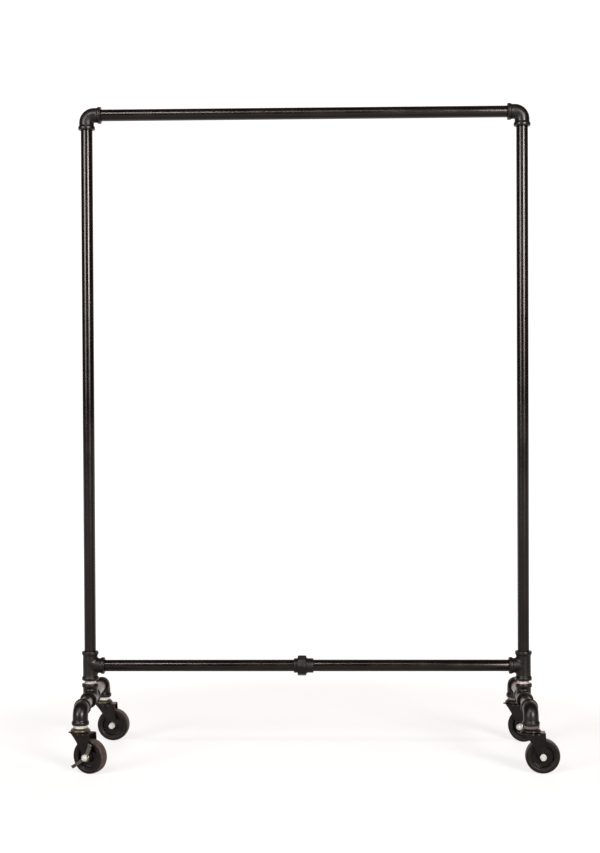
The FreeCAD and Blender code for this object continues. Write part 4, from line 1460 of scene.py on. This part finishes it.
# %% Surroundings and panels
ROOM_IN_FRONT = (0.04, 0.032, 0.03)
ROOM_BEHIND = (1.2, 0.98, 0.92)
SEEN_WHITE = 1.1
NEUTRAL_LIGHT = (1.0, 0.97, 0.94)
WARM_LIGHT = (1.0, 0.95, 0.88)
SIDE_AIM, SIDE_LOW_AIM, HIGH_AIM = (0, 0, 1.5), (0, 0, 1.2), (0, 0, 0.6)
# Name, place, target, width and height, radiance and colour of each panel.
PANELS = [
    ("left_panel", (-4.8, -5.1, 3.0), SIDE_AIM, (2.6, 2.1), 42, NEUTRAL_LIGHT),
    ("left_low_panel", (-4.8, -5.1, 1.4), SIDE_LOW_AIM, (2.6, 1.0), 19, NEUTRAL_LIGHT),
    ("right_panel", (3.6, -6.2, 3.05), SIDE_AIM, (2.2, 2.2), 100, WARM_LIGHT),
    ("right_low_panel", (3.6, -6.2, 1.4), SIDE_LOW_AIM, (2.2, 1.0), 24, WARM_LIGHT),
    ("high_left_panel", (-1.3, -3.0, 3.45), HIGH_AIM, (1.3, 0.5), 72, NEUTRAL_LIGHT),
    ("high_middle_panel", (0.1, -3.0, 3.45), HIGH_AIM, (1.2, 0.5), 20, NEUTRAL_LIGHT),
]


def make_surroundings():
    """White to the camera. In reflections, white behind the rack and a dim, faintly warm room in front."""
    world = bpy.data.worlds.new("studio")
    bpy.context.scene.world = world
    world.use_nodes = True
    tree = world.node_tree
    tree.nodes.clear()
    split = add(tree, "ShaderNodeSeparateXYZ")
    tree.links.new(add(tree, "ShaderNodeTexCoord").outputs["Generated"], split.inputs[0])
    behind = ramp(tree, split.outputs["Y"], 0.5, 0.97)
    colour = mix_colour(tree, behind, ROOM_IN_FRONT, ROOM_BEHIND)
    seen = add(tree, "ShaderNodeBackground", Color=(1.0, 1.0, 1.0, 1.0), Strength=SEEN_WHITE)
    room = add(tree, "ShaderNodeBackground", Strength=1.0)
    tree.links.new(colour, room.inputs["Color"])
    choice = add(tree, "ShaderNodeMixShader")
    tree.links.new(add(tree, "ShaderNodeLightPath").outputs["Is Camera Ray"], choice.inputs[0])
    tree.links.new(room.outputs[0], choice.inputs[1])
    tree.links.new(seen.outputs[0], choice.inputs[2])
    tree.links.new(choice.outputs[0], add(tree, "ShaderNodeOutputWorld").inputs["Surface"])


def panel(name, position, target, size, radiance, colour):
    """A soft rectangular panel that faces a target. Its power is radiance * width * height, in watts."""
    light = bpy.data.lights.new(name, "AREA")
    light.shape = "RECTANGLE"
    light.size, light.size_y = size
    light.energy = radiance * size[0] * size[1]
    light.color = colour
    lamp = bpy.data.objects.new(name, light)
    bpy.context.collection.objects.link(lamp)
    lamp.location = position
    toward = np.array(target) - np.array(position)
    azimuth = math.atan2(toward[0], toward[1])
    elevation = math.atan2(toward[2], math.hypot(toward[0], toward[1]))
    lamp.rotation_euler = (math.pi / 2 + elevation, 0, -azimuth)


make_surroundings()
for panel_values in PANELS:
    panel(*panel_values)
print("panels:", [lamp.name for lamp in bpy.data.lights])

# %% [markdown]
# ## Camera
# A long lens stands about three and a half metres in front of the rack, at the height of its middle, and
# looks very slightly down.

# %% Camera
CAMERA_PLACE = (0.0837, -3.5492, 0.8133)
CAMERA_YAW, CAMERA_PITCH, CAMERA_ROLL = 0.02676, -0.01548, 0.00481       # radians
LENS = 65.715                    # millimetres, on a sensor as wide as SENSOR_WIDTH
SENSOR_WIDTH = 36.0


def make_camera():
    """A camera from its place, its three small turns and its lens."""
    data = bpy.data.cameras.new("camera")
    data.sensor_width = SENSOR_WIDTH
    data.lens = LENS
    camera = bpy.data.objects.new("camera", data)
    bpy.context.collection.objects.link(camera)
    camera.location = CAMERA_PLACE
    sideways = Quaternion((0, 0, 1), CAMERA_YAW)
    upwards = Quaternion((1, 0, 0), CAMERA_PITCH)
    turn = sideways @ upwards @ Quaternion((0, 1, 0), CAMERA_ROLL)
    level = Quaternion((1, 0, 0), math.pi / 2)
    camera.rotation_mode = "QUATERNION"
    camera.rotation_quaternion = turn @ level
    bpy.context.scene.camera = camera


make_camera()
bpy.context.scene.view_settings.view_transform = "Standard"
